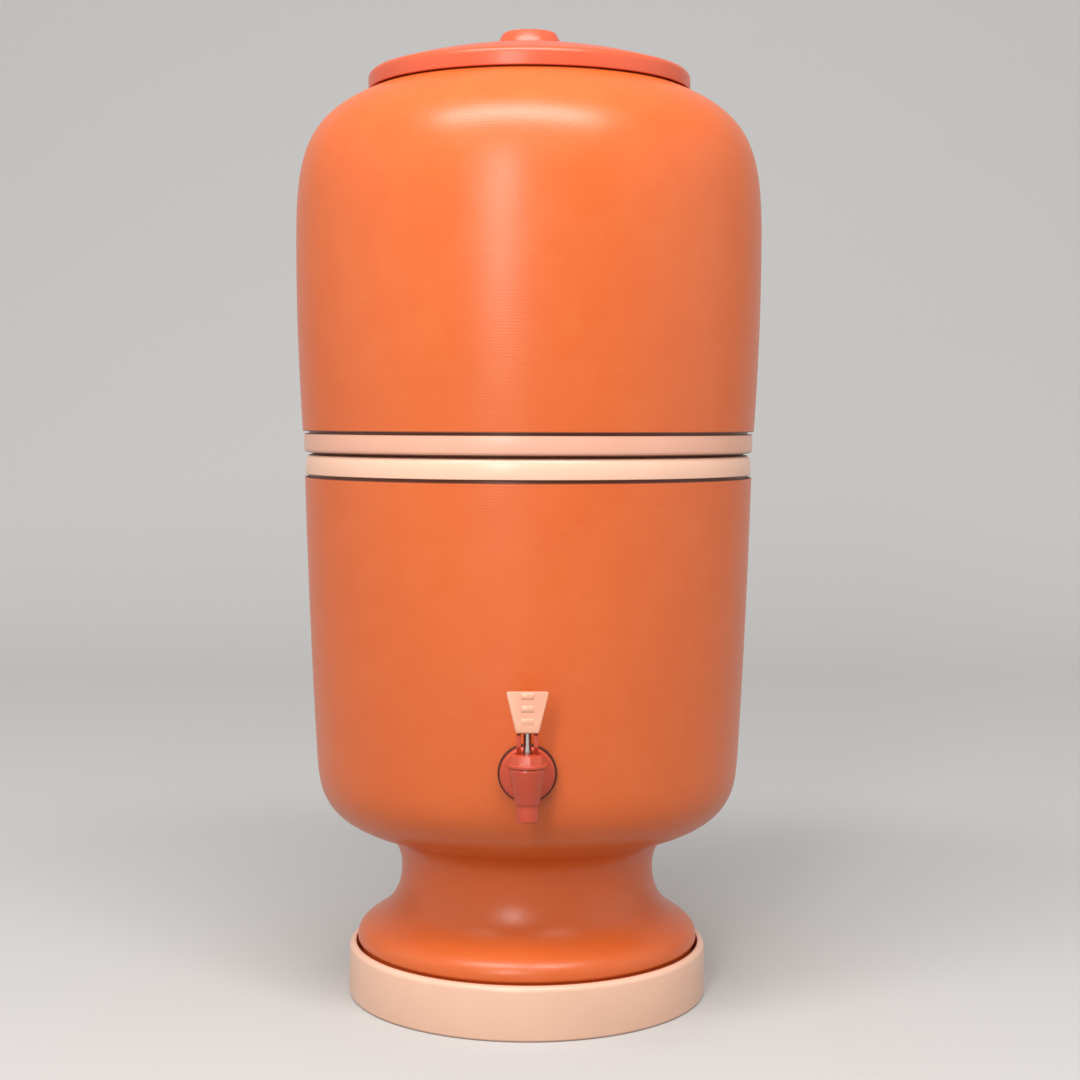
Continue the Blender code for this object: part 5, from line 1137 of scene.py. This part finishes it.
class WATERFILTER_OT_float_valve(Operator):
    """Valve under the candle, with its hinged arm and hollow float"""

    bl_idname = "water_filter.float_valve"
    bl_label = "Float Valve"

    def execute(self, context):
        valve = settings().valve
        top_z = top_of("float_valve_body")
        pin_low, pin_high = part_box("float_hinge_pin")
        hinge = Vector(((pin_low.x + pin_high.x) / 2, 0, (pin_low.z + pin_high.z) / 2))
        place, reach = Matrix.Translation(hinge), -hinge.x
        cone_z = top_z - 0.0160
        nozzle_foot = cone_z - 0.0030
        nozzle_z, nozzle, water_way = nozzle_foot - 0.0030, 0.0026, 0.0012
        socket_z = foot_of("candle_base") - SEAT_GAP
        stem = settings().candle.stem_radius + RUNNING_GAP
        body = moved(small_turned(loop(
            (water_way, nozzle_z), (water_way, socket_z), (stem, socket_z), (stem, top_z, 0.0004),
            (valve.valve_radius, top_z, 0.0010), (valve.valve_radius, cone_z, 0.0008),
            (nozzle * 1.8, nozzle_foot, 0.0006), (nozzle, nozzle_foot), (nozzle, nozzle_z, 0.0004),
        ), True), -hinge)
        inner, lug_width = valve.arm_width / 2 + RUNNING_GAP, 0.0025
        body_top, body_foot = top_z - hinge.z - 0.0030, cone_z - hinge.z
        lug = loop(
            (reach - 0.0040, body_top), (0.0010, body_top, 0.0020), (-0.0070, 0.0075, 0.0010),
            (-0.0070, 0.0040, 0.0010), (-0.0032, -0.0032, 0.0020), (0.0032, -0.0032, 0.0020),
            (reach - valve.valve_radius * 0.5, body_foot), (reach - 0.0040, body_foot),
        )
        lugs = [prism(lug, at, at + lug_width, "XZ", 0.0003) for at in (inner, -inner - lug_width)]
        web = inner + lug_width / 2
        lugs.append(prism(rectangle(-0.0065, 0.0044, -0.0028, 0.0068), -web, web, "XZ", 0.0002))
        grips = []
        for at in range(15, 360, 30):
            if not 120 < at < 240:
                grip = cylinder(0.0007, body_foot + 0.0020, body_top - 0.0010, 0.0003)
                across, along = polar(valve.valve_radius, at)
                grips.append(moved(grip, (reach + across, along, 0)))
        pin_radius = (pin_high.x - pin_low.x) / 2
        pin_hole = turned(cylinder(pin_radius + SEAT_GAP, -reach, reach), 90, "X")
        make("float_valve_body", body, lugs, grips + [pin_hole], place)
        pin = turned(cylinder(pin_radius, pin_low.y, pin_high.y, 0.0003), 90, "X")
        make("float_hinge_pin", pin, place=place)

        hang = place @ Matrix.Rotation(valve.droop, 4, "Y")
        self.arm(valve, reach, pin_radius, hang)
        self.float_halves(valve, hang @ Matrix.Translation((valve.arm_length, 0, 0)))
        return {"FINISHED"}

    def arm(self, valve, reach, pin_radius, place):
        """Arm with its seal, drawn level from the hinge."""
        half, top = valve.arm_width / 2, 0.0010
        under = top - valve.arm_thickness
        bar = [(-0.0060, -0.0010), (valve.arm_length, under), (valve.arm_length, top), (-0.0060, top)]
        bar = prism(bar, SEAT_GAP - half, half - SEAT_GAP, "XZ", 0.0004)
        hub = turned(cylinder(0.0032, -half, half, 0.0004), 90, "X")
        eye = moved(cylinder(0.0060, under - 0.0001, top + 0.0001, 0.0005), (valve.arm_length, 0, 0))
        pin_hole = turned(cylinder(pin_radius + SEAT_GAP, -2 * half, 2 * half), 90, "X")
        neck = moved(cylinder(0.0035, under - CUT_MARGIN, top + CUT_MARGIN), (valve.arm_length, 0, 0))
        seal_radius, pocket_floor = 0.0033, top - 0.0015
        wide = seal_radius + SEAT_GAP
        pocket = rectangle(reach - wide, pocket_floor, reach + wide, top + CUT_MARGIN)
        make("float_arm", bar, [hub, eye], [pin_hole, neck, prism(pocket, -2 * half, 2 * half, "XZ")], place)
        seat = pocket_floor + SEAT_GAP
        seal = moved(cylinder(seal_radius, seat, seat + 0.0025, 0.0004), (reach, 0, 0))
        make("float_seal", seal, place=place)

    def float_halves(self, valve, place):
        """Cap and cup of the hollow float, about the float's own axis."""
        radius, wall, dome = valve.float_radius, 0.0014, 0.0090
        top = 0.0010 - valve.arm_thickness - SEAT_GAP
        cap_side = top - dome
        rim = cap_side - 0.0080
        bead = 0.0010 + SEAT_GAP
        inner, shoulder, lip = radius - wall, radius * 0.45, 0.0002
        cap = line(
            (0, bead + 0.0016), (0.0028, bead + 0.0016, 0.0004), (0.0044, bead + 0.0006, 0.0003),
            (0.0044, bead), (0.0032, bead), (0.0032, top), (shoulder, top),
        )
        cap += curve((shoulder, top), -12, 0.35, (radius, cap_side), -90, 0.5, 10)
        cap += [(radius, rim + lip), (radius - lip, rim), (inner, rim)]
        cap += curve((inner, rim), 90, 0.60, (shoulder, top - wall), 168, 0.3, 10)
        make("float_cap", small_turned(cap + [(0, top - wall)]), place=place)
        lap_outer = inner - 2 * SEAT_GAP
        lap_inner = lap_outer - wall
        side_foot, seam = rim - 0.0110, rim - SEAT_GAP
        bottom = side_foot - dome
        inside = curve((lap_inner, side_foot), -90, 0.5, (0, bottom + wall), 180, 0.45, 10)
        cup = inside[::-1] + [
            (lap_inner, side_foot), (lap_inner, rim + 0.0040), (lap_outer, rim + 0.0040), (lap_outer, seam),
            (radius - lip, seam), (radius, seam - lip), (radius, side_foot),
        ] + curve((radius, side_foot), -90, 0.5, (0, bottom), 180, 0.45, 10)
        make("float_cup", small_turned(cup), place=place)


class WATERFILTER_OT_tap_body(Operator):
    """Tap body with its flange, cup, spout and shank, and the washers and nut that clamp it"""

    bl_idname = "water_filter.tap_body"
    bl_label = "Tap Body"

    def execute(self, context):
        tap, place = settings().tap, Matrix.Translation(tap_place())
        reach, wall = tap_reach(), settings().lower.clay_wall
        tip, arm, water_way, pitch = -0.0204, 0.0062, 0.0034, 0.0016
        cup = line(
            (0, tip), (tap.spout_radius, tip, 0.0008), (tap.spout_radius - 0.0002, -0.0114),
            (tap.foot_radius, -0.0110, 0.0003), (tap.shoulder_radius, 0.0064, 0.0004),
            (tap.shoulder_radius - 0.0004, TAP_RIM), (TAP_NECK, TAP_RIM), (TAP_NECK, TAP_NECK_TOP, 0.0002),
            (0, TAP_NECK_TOP),
        )
        flange_back = reach - FLANGE_WASHER - SEAT_GAP
        flange_front = flange_back - 0.0030
        inner_face = reach + wall + INNER_WASHER
        shank_end = inner_face + NUT_DEPTH + 0.0040
        shank = [(0, 0), (arm, 0), (arm, flange_front - 0.0010)]
        shank += corner_arc(shank[-1], (arm, flange_front), (tap.flange_radius, flange_front), 0.0012)
        shank += line(
            (arm, flange_front), (tap.flange_radius, flange_front, 0.0018),
            (tap.flange_radius, flange_back, 0.0004), (tap.shank_radius, flange_back),
            (tap.shank_radius, reach),
        )[1:]
        for index in range(int((shank_end - reach - 0.0020) / pitch)):
            at = reach + index * pitch
            shank += [(tap.shank_radius, at + pitch * 0.45), (tap.shank_radius - 0.0006, at + pitch)]
        shank += [(tap.shank_radius - 0.0010, shank_end), (0, shank_end)]
        cavity = [
            (0, tip - CUT_MARGIN), (tap.spout_bore, tip - CUT_MARGIN), (water_way, -0.0075),
            (TAP_BORE, -0.0040), (TAP_BORE, TAP_NECK_TOP + CUT_MARGIN), (0, TAP_NECK_TOP + CUT_MARGIN),
        ]
        bore = turned(cylinder(water_way, 0.0032, shank_end + CUT_MARGIN), -90, "X")
        shank = turned(small_turned(shank), -90, "X")
        make("tap_body", small_turned(cup), [shank], [small_turned(cavity), bore], place)

        band = [(r + SEAT_GAP, z) for r, z in lower_wall_outside()]
        band += [(r - SEAT_GAP, z) for r, z in lower_wall_inside()[::-1]]
        hole, middle = tap.shank_radius + LOOSE_GAP, reach + wall / 2
        washers = (
            ("tap_flange_washer", tap.washer_radius, reach - FLANGE_WASHER, middle),
            ("tap_inner_washer", 0.0125, middle, inner_face),
        )
        for node, radius, low, high in washers:
            section = loop((hole, low), (radius, low, 0.0007), (radius, high, 0.0007), (hole, high))
            clay = moved(pot_turned(band, True), -tap_place())
            make(node, turned(small_turned(section, True), -90, "X"), cut=[clay], place=place)

        nut_face = inner_face + SEAT_GAP
        nut_end = nut_face + NUT_DEPTH
        nut_radius = 0.0140
        hexagon = [polar(nut_radius, 60 * index) for index in range(6)]
        nut = turned(prism(hexagon, nut_face, nut_end, "XY", 0.0006), -90, "X")
        bore = turned(cylinder(hole, nut_face - CUT_MARGIN, nut_end + CUT_MARGIN), -90, "X")
        make("tap_nut", nut, cut=[bore], place=place)
        return {"FINISHED"}


class WATERFILTER_OT_tap_bonnet(Operator):
    """Gasket, stem guide with its ears, and the faceted ring that holds them"""

    bl_idname = "water_filter.tap_bonnet"
    bl_label = "Tap Bonnet"

    def execute(self, context):
        tap, place = settings().tap, Matrix.Translation(tap_place())
        gasket_low = TAP_NECK_TOP + SEAT_GAP
        gasket = rectangle(TAP_BORE, gasket_low, TAP_NECK, gasket_low + GASKET)
        make("tap_bonnet_gasket", small_turned(gasket, True), place=place)

        under = TAP_NECK_TOP + GASKET + 2 * SEAT_GAP
        guide_top = under + 0.0015
        top = guide_top + SEAT_GAP + 0.0012
        ear_top = top + 0.0106
        guide_neck = 0.0060
        disc = line(
            (0, under), (TAP_NECK, under), (TAP_NECK, guide_top), (guide_neck, guide_top),
            (guide_neck, top, 0.0003), (0, top),
        )
        flare, ear_foot = top + RUNNING_GAP, guide_top - 0.0002
        ear = loop(
            (-0.0018, ear_foot), (-0.0018, flare, 0.0006), (-0.0056, flare + 0.0040, 0.0014),
            (-0.0056, ear_top, 0.0006), (0.0040, ear_top, 0.0006), (0.0040, flare + 0.0040, 0.0014),
            (0.0018, flare, 0.0006), (0.0018, ear_foot),
        )
        gap, thick = 0.0033, 0.0023
        ears = [prism(ear, at, at + thick, "YZ", 0.0003) for at in (gap, -gap - thick)]
        rod_bore = cylinder(tap.rod_radius + RUNNING_GAP, under - CUT_MARGIN, top + CUT_MARGIN)
        make("tap_stem_guide", small_turned(disc), ears, [rod_bore], place)

        lip_under = TAP_RIM + SEAT_GAP
        lip_top = lip_under + 0.0018
        lip = line(
            (0, lip_under), (tap.ring_radius, lip_under, 0.0004), (tap.ring_radius, lip_top, 0.0006),
            (0, lip_top),
        )
        low, flats = lip_top - 0.0006, bmesh.new()
        bmesh.ops.create_cone(
            flats, cap_ends=True, segments=tap.ring_flats, radius1=tap.ring_radius - 0.0003,
            radius2=tap.ring_top_radius, depth=top - low,
        )
        flats = turned(bevelled(flats, 0.0003, math.radians(20), 3), 90 + 180 / tap.ring_flats, "Z")
        flats = moved(flats, (0, 0, (low + top) / 2))
        wide, narrow, step = TAP_NECK + LOOSE_GAP, guide_neck + SEAT_GAP, guide_top + SEAT_GAP
        hollow = [
            (0, lip_under - CUT_MARGIN), (wide, lip_under - CUT_MARGIN), (wide, step), (narrow, step),
            (narrow, top + CUT_MARGIN), (0, top + CUT_MARGIN),
        ]
        make("tap_bonnet_ring", small_turned(lip), [flats], [small_turned(hollow)], place)
        return {"FINISHED"}


class WATERFILTER_OT_tap_rod(Operator):
    """Steel rod with its eye, rubber plug, pin and spring"""

    bl_idname = "water_filter.tap_rod"
    bl_label = "Tap Rod and Spring"

    def execute(self, context):
        tap, place = settings().tap, lever_place()
        pin_z, pin_radius, pin_start, pin_end = lever_pin()
        plug_low, plug_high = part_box("tap_valve_plug")
        low, high, radius = plug_low.z - pin_z, plug_high.z - pin_z, plug_high.x
        socket, socket_radius = high - 0.0036, tap.rod_radius + SEAT_GAP
        cone_top = high - 0.0026 - 0.0010
        plug = line(
            (0, low), (0.0034, low, 0.0003), (radius, cone_top, 0.0003), (radius, high, 0.0004),
            (socket_radius, high), (socket_radius, socket), (0, socket),
        )
        make("tap_valve_plug", small_turned(plug), place=place)
        rod_foot, rod_end, half_eye = socket + SEAT_GAP, 0.0010, 0.0019
        rod = line((0, rod_foot), (tap.rod_radius, rod_foot, 0.0004), (tap.rod_radius, rod_end), (0, rod_end))
        eye = turned(cylinder(ROD_EYE, -half_eye, half_eye, 0.0003), 90, "Y")
        hole = turned(cylinder(pin_radius + SEAT_GAP, -0.0040, 0.0040), 90, "Y")
        make("tap_stem", small_turned(rod), [eye], [hole], place)
        make("tap_lever_pin", turned(cylinder(pin_radius, pin_start, pin_end, 0.0002), 90, "Y"), place=place)
        self.spring(tap)
        return {"FINISHED"}

    def spring(self, tap):
        """Coil between the plug and the guide. The real spring closes up as the rod rises; this coil keeps one
        length.
        """
        low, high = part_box("tap_spring")
        foot, top = low.z + tap.wire_radius, high.z - tap.wire_radius
        turns, end_turns, end_pitch, per_turn = 5.0, 0.75, 0.0013, 32
        middle_turns = turns - 2 * end_turns
        middle_pitch = (top - foot - 2 * (end_turns * end_pitch)) / middle_turns
        wire = bpy.data.curves.new("tap_spring_wire", "CURVE")
        wire.dimensions = "3D"
        wire.bevel_depth = tap.wire_radius
        wire.bevel_resolution = 3
        wire.use_fill_caps = True
        run = wire.splines.new("POLY")
        steps = round(turns * per_turn)
        run.points.add(steps)
        for index, spot in enumerate(run.points):
            at = turns * index / steps
            first = min(at, end_turns) * end_pitch
            middle = min(max(at - end_turns, 0), middle_turns) * middle_pitch
            last = max(at - turns + end_turns, 0) * end_pitch
            spot.co = (*polar(tap.coil_radius, 360 * at), foot + first + middle + last, 1.0)
        coil = linked("tap_spring_wire", wire)
        mesh = evaluated_mesh(coil)
        bpy.data.objects.remove(coil)
        bpy.data.curves.remove(wire)
        mesh.transform(Matrix.Translation((tap_place().x, tap_place().y, 0)))
        mesh.name = PIECES["tap_spring"][0]
        solid = linked(mesh.name, mesh)
        finish_piece(solid, "tap_spring")
        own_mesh(solid)


class WATERFILTER_OT_tap_lever(Operator):
    """Paddle with finger ribs on two cam cheeks"""

    bl_idname = "water_filter.tap_lever"
    bl_label = "Tap Lever"

    base_radius = 0.0040
    lift_per_radian = 0.0035
    tilt = 35.0

    def cam_point(self, degrees):
        """Point of the cam where its lift has grown in step with the tilt, as (forward, up)."""
        at = math.radians(degrees)
        reach = self.base_radius + self.lift_per_radian * at
        return (
            reach * math.sin(at) + self.lift_per_radian * math.cos(at),
            -reach * math.cos(at) + self.lift_per_radian * math.sin(at),
        )

    def slot(self, tap):
        """Side view of the slot that clears the rod and its eye through the whole tilt."""
        eye, rod = ROD_EYE + RUNNING_GAP, tap.rod_radius + RUNNING_GAP
        swing = self.tilt + 2.0
        meet = swing - math.degrees(math.acos(rod / eye))
        reach = 4 * self.base_radius
        along, across = polar(reach, swing - 90), polar(rod, swing)
        front = (across[0] + along[0], across[1] + along[1])
        round_end = [polar(eye, 90 + (meet - 90) * step / 8) for step in range(9)]
        return [(-reach, eye)] + round_end + [front, (-reach, front[1])]

    def facing(self, side, half_width):
        """Solid from a side view of (forward, up) points."""
        return prism([(-forward, up) for forward, up in side], -half_width, half_width, "YZ")

    def execute(self, context):
        tap, lever, place = settings().tap, settings().lever, lever_place()
        half_bottom, half_top = lever.bottom_width / 2, lever.top_width / 2
        bottom, base, back_reach = -self.base_radius, self.base_radius, 0.0032
        cam = [self.cam_point((self.tilt + 5.0) * step / 12) for step in range(13)]
        nose, nose_z = cam[-1]
        back_deg = 180 + math.degrees(math.acos(back_reach / base)) * 0.5
        back = [polar(base, 90 + (back_deg - 90) * step / 10) for step in range(11)]
        side = cam + [(nose, 0.0), (nose - lever.thickness / 2, base)] + back + [(-back_reach, bottom)]
        foot = nose_z + SEAT_GAP
        foot_half = half_bottom + (half_top - half_bottom) * (foot - bottom) / lever.height
        rise = bottom + lever.height - foot
        face = loop(
            (-foot_half, 0, 0.0006), (foot_half, 0, 0.0006), (half_top, rise, 0.0010),
            (-half_top, rise, 0.0010),
        )
        joined = [prism(face, 0, lever.thickness, "XZ", 0.0004, 3)]
        first_rib, rib_pitch, slot_half = 0.0049, 0.0065, 0.0025
        for index in range(lever.rib_count):
            joined.append(moved(self.finger_rib(), (0, 0, first_rib + rib_pitch * index)))
        for shape in joined:
            moved(turned(shape, -math.degrees(lever.lean), "X"), (0, SEAT_GAP - nose, foot))
        hole = turned(cylinder(lever_pin()[1] + SEAT_GAP, -lever.top_width, lever.top_width), 90, "Y")
        cuts = [self.facing(self.slot(tap), slot_half), hole]
        make("tap_lever", self.facing(side, half_bottom), joined, cuts, place)
        return {"FINISHED"}

    def finger_rib(self):
        """Low pad on the paddle's face, proudest at its lower edge."""
        half_height, half_width, proud, buried = 0.0018, 0.0033, 0.0004, 0.0006
        section = [
            (buried, -half_height), (0.0, -half_height), (-proud, -half_height * 0.4),
            (-proud, half_height * 0.4), (0.0, half_height), (buried, half_height),
        ]
        return prism(section, -half_width, half_width, "YZ", 0.0003)


class WATERFILTER_OT_stage(Operator):
    """Pale floor that sweeps up into a backdrop, soft studio light and the camera"""

    bl_idname = "water_filter.stage"
    bl_label = "Studio Stage"

    def execute(self, context):
        studio = settings().studio
        self.camera(studio)
        self.floor(studio)
        self.lights(studio)
        scene = context.scene
        scene.view_settings.view_transform = "Standard"
        world = bpy.data.worlds.new("studio_air")
        world.use_nodes = True
        air = world.node_tree.nodes["Background"]
        air.inputs["Color"].default_value = (1.0, 0.99, 0.97, 1.0)
        air.inputs["Strength"].default_value = studio.world
        scene.world = world
        return {"FINISHED"}

    def camera(self, studio):
        """Camera in front of the tap."""
        data = bpy.data.cameras.new("camera")
        data.sensor_width = 36.0
        data.lens = studio.lens
        data.shift_x = studio.shift
        camera = linked("camera", data)
        look = Matrix.Rotation(math.pi / 2 - studio.pitch, 4, "X") @ Matrix.Rotation(studio.roll, 4, "Z")
        camera.matrix_world = Matrix.Translation((0, -studio.camera_distance, studio.camera_height)) @ look
        bpy.context.scene.camera = camera

    def floor(self, studio):
        """Floor and backdrop in one sweep."""
        front, back, bend, height, half_width = -3.2, 2.6, 1.2, 4.2, 5.0
        sweep = [(front, 0.0), (back - bend, 0.0)]
        for step in range(1, 11):
            at = math.radians(9 * step)
            sweep.append((back - bend + bend * math.sin(at), bend - bend * math.cos(at)))
        sweep.append((back, height))
        shape = bmesh.new()
        rows = [[shape.verts.new((x, y, z)) for y, z in sweep] for x in (-half_width, half_width)]
        for index in range(len(sweep) - 1):
            shape.faces.new((rows[0][index], rows[1][index], rows[1][index + 1], rows[0][index + 1]))
        bmesh.ops.recalc_face_normals(shape, faces=shape.faces)
        floor = as_object("studio_floor", shape)
        floor.data.shade_smooth()
        recipe = Recipe("studio_paper")
        body, far = studio.floor, studio.backdrop
        near = tuple(min(1.0, channel * studio.seen_floor) for channel in body)
        fibres = recipe.remap(recipe.noise(3.0, 3.0), 0.3, 0.7, 0.0, 0.12)
        away = recipe.remap(recipe.length_of(recipe.coords), 0.5, 2.2, 0.0, 1.0)
        rays = recipe.node("ShaderNodeLightPath")
        watched = rays.outputs["Is Camera Ray"]
        for kind in ("Is Glossy Ray", "Is Transmission Ray"):
            watched = recipe.add(watched, rays.outputs[kind])
        paper = recipe.blend(away, recipe.blend(fibres, body, scaled(body, 0.94)), far)
        paper = recipe.blend(watched, paper, recipe.blend(away, near, far))
        recipe.shade(Base_Color=paper, Roughness=0.95, Specular_IOR_Level=0.1)
        floor.data.materials.append(recipe.material)

    def lights(self, studio):
        """One soft light overhead, a tall one beside the camera and a wide one on each side."""
        aim = Vector((0, 0, 0.30))
        lamps = (
            ("top_light", (-0.09, -0.76, 1.58), 1.6, 0.33, studio.top),
            ("strip_light", (-0.36, -1.58, 0.77), 0.25, 0.76, studio.strip),
            ("left_light", (-2.00, -0.50, 0.80), 2.2, 1.8, studio.side),
            ("right_light", (2.00, -0.50, 0.80), 2.2, 1.8, studio.side * 1.3),
        )
        for name, place, width, height, power in lamps:
            data = bpy.data.lights.new(name, "AREA")
            data.shape = "RECTANGLE"
            data.size, data.size_y = width, height
            data.energy = power
            lamp = linked(name, data)
            lamp.location = place
            lamp.rotation_mode = "QUATERNION"
            lamp.rotation_quaternion = (aim - Vector(place)).to_track_quat("-Z", "Y")


OPERATORS = (
    WATERFILTER_OT_stage,
    WATERFILTER_OT_base_stand,
    WATERFILTER_OT_lower_chamber,
    WATERFILTER_OT_rim_rings,
    WATERFILTER_OT_upper_chamber,
    WATERFILTER_OT_lid,
    WATERFILTER_OT_candle,
    WATERFILTER_OT_float_valve,
    WATERFILTER_OT_tap_body,
    WATERFILTER_OT_tap_bonnet,
    WATERFILTER_OT_tap_rod,
    WATERFILTER_OT_tap_lever,
)


class WATERFILTER_PT_panel(Panel):
    """Lists the filter's pieces and settings"""

    bl_idname = "WATERFILTER_PT_panel"
    bl_label = "Clay Water Filter"
    bl_space_type = "VIEW_3D"
    bl_region_type = "UI"
    bl_category = "Water Filter"

    def draw(self, context):
        layout = self.layout
        pieces = layout.box()
        pieces.label(text="Pieces")
        for operator in OPERATORS:
            pieces.operator(operator.bl_idname, text=operator.bl_label)
        filter_settings = context.scene.water_filter
        for key in WATERFILTER_PG_settings.__annotations__:
            group = getattr(filter_settings, key)
            box = layout.box()
            box.label(text=filter_settings.bl_rna.properties[key].name)
            for name in group.__annotations__:
                box.prop(group, name)


GROUPS = (
    WATERFILTER_PG_smoothness,
    WATERFILTER_PG_stand,
    WATERFILTER_PG_lower,
    WATERFILTER_PG_upper,
    WATERFILTER_PG_rings,
    WATERFILTER_PG_lid,
    WATERFILTER_PG_candle,
    WATERFILTER_PG_float,
    WATERFILTER_PG_tap,
    WATERFILTER_PG_lever,
    WATERFILTER_PG_clay,
    WATERFILTER_PG_plastic,
    WATERFILTER_PG_small_finishes,
    WATERFILTER_PG_studio,
    WATERFILTER_PG_settings,
)


def register():
    """Registers the settings, the operators and the panel."""
    for item in (*GROUPS, *OPERATORS, WATERFILTER_PT_panel):
        bpy.utils.register_class(item)
    bpy.types.Scene.water_filter = PointerProperty(name="Water filter", type=WATERFILTER_PG_settings)


def unregister():
    """Takes them out again."""
    del bpy.types.Scene.water_filter
    for item in reversed((*GROUPS, *OPERATORS, WATERFILTER_PT_panel)):
        bpy.utils.unregister_class(item)


def main():
    """Makes every piece and the stage."""
    register()
    for operator in OPERATORS:
        group, name = operator.bl_idname.split(".")
        getattr(getattr(bpy.ops, group), name)()


if __name__ == "__main__":
    main()
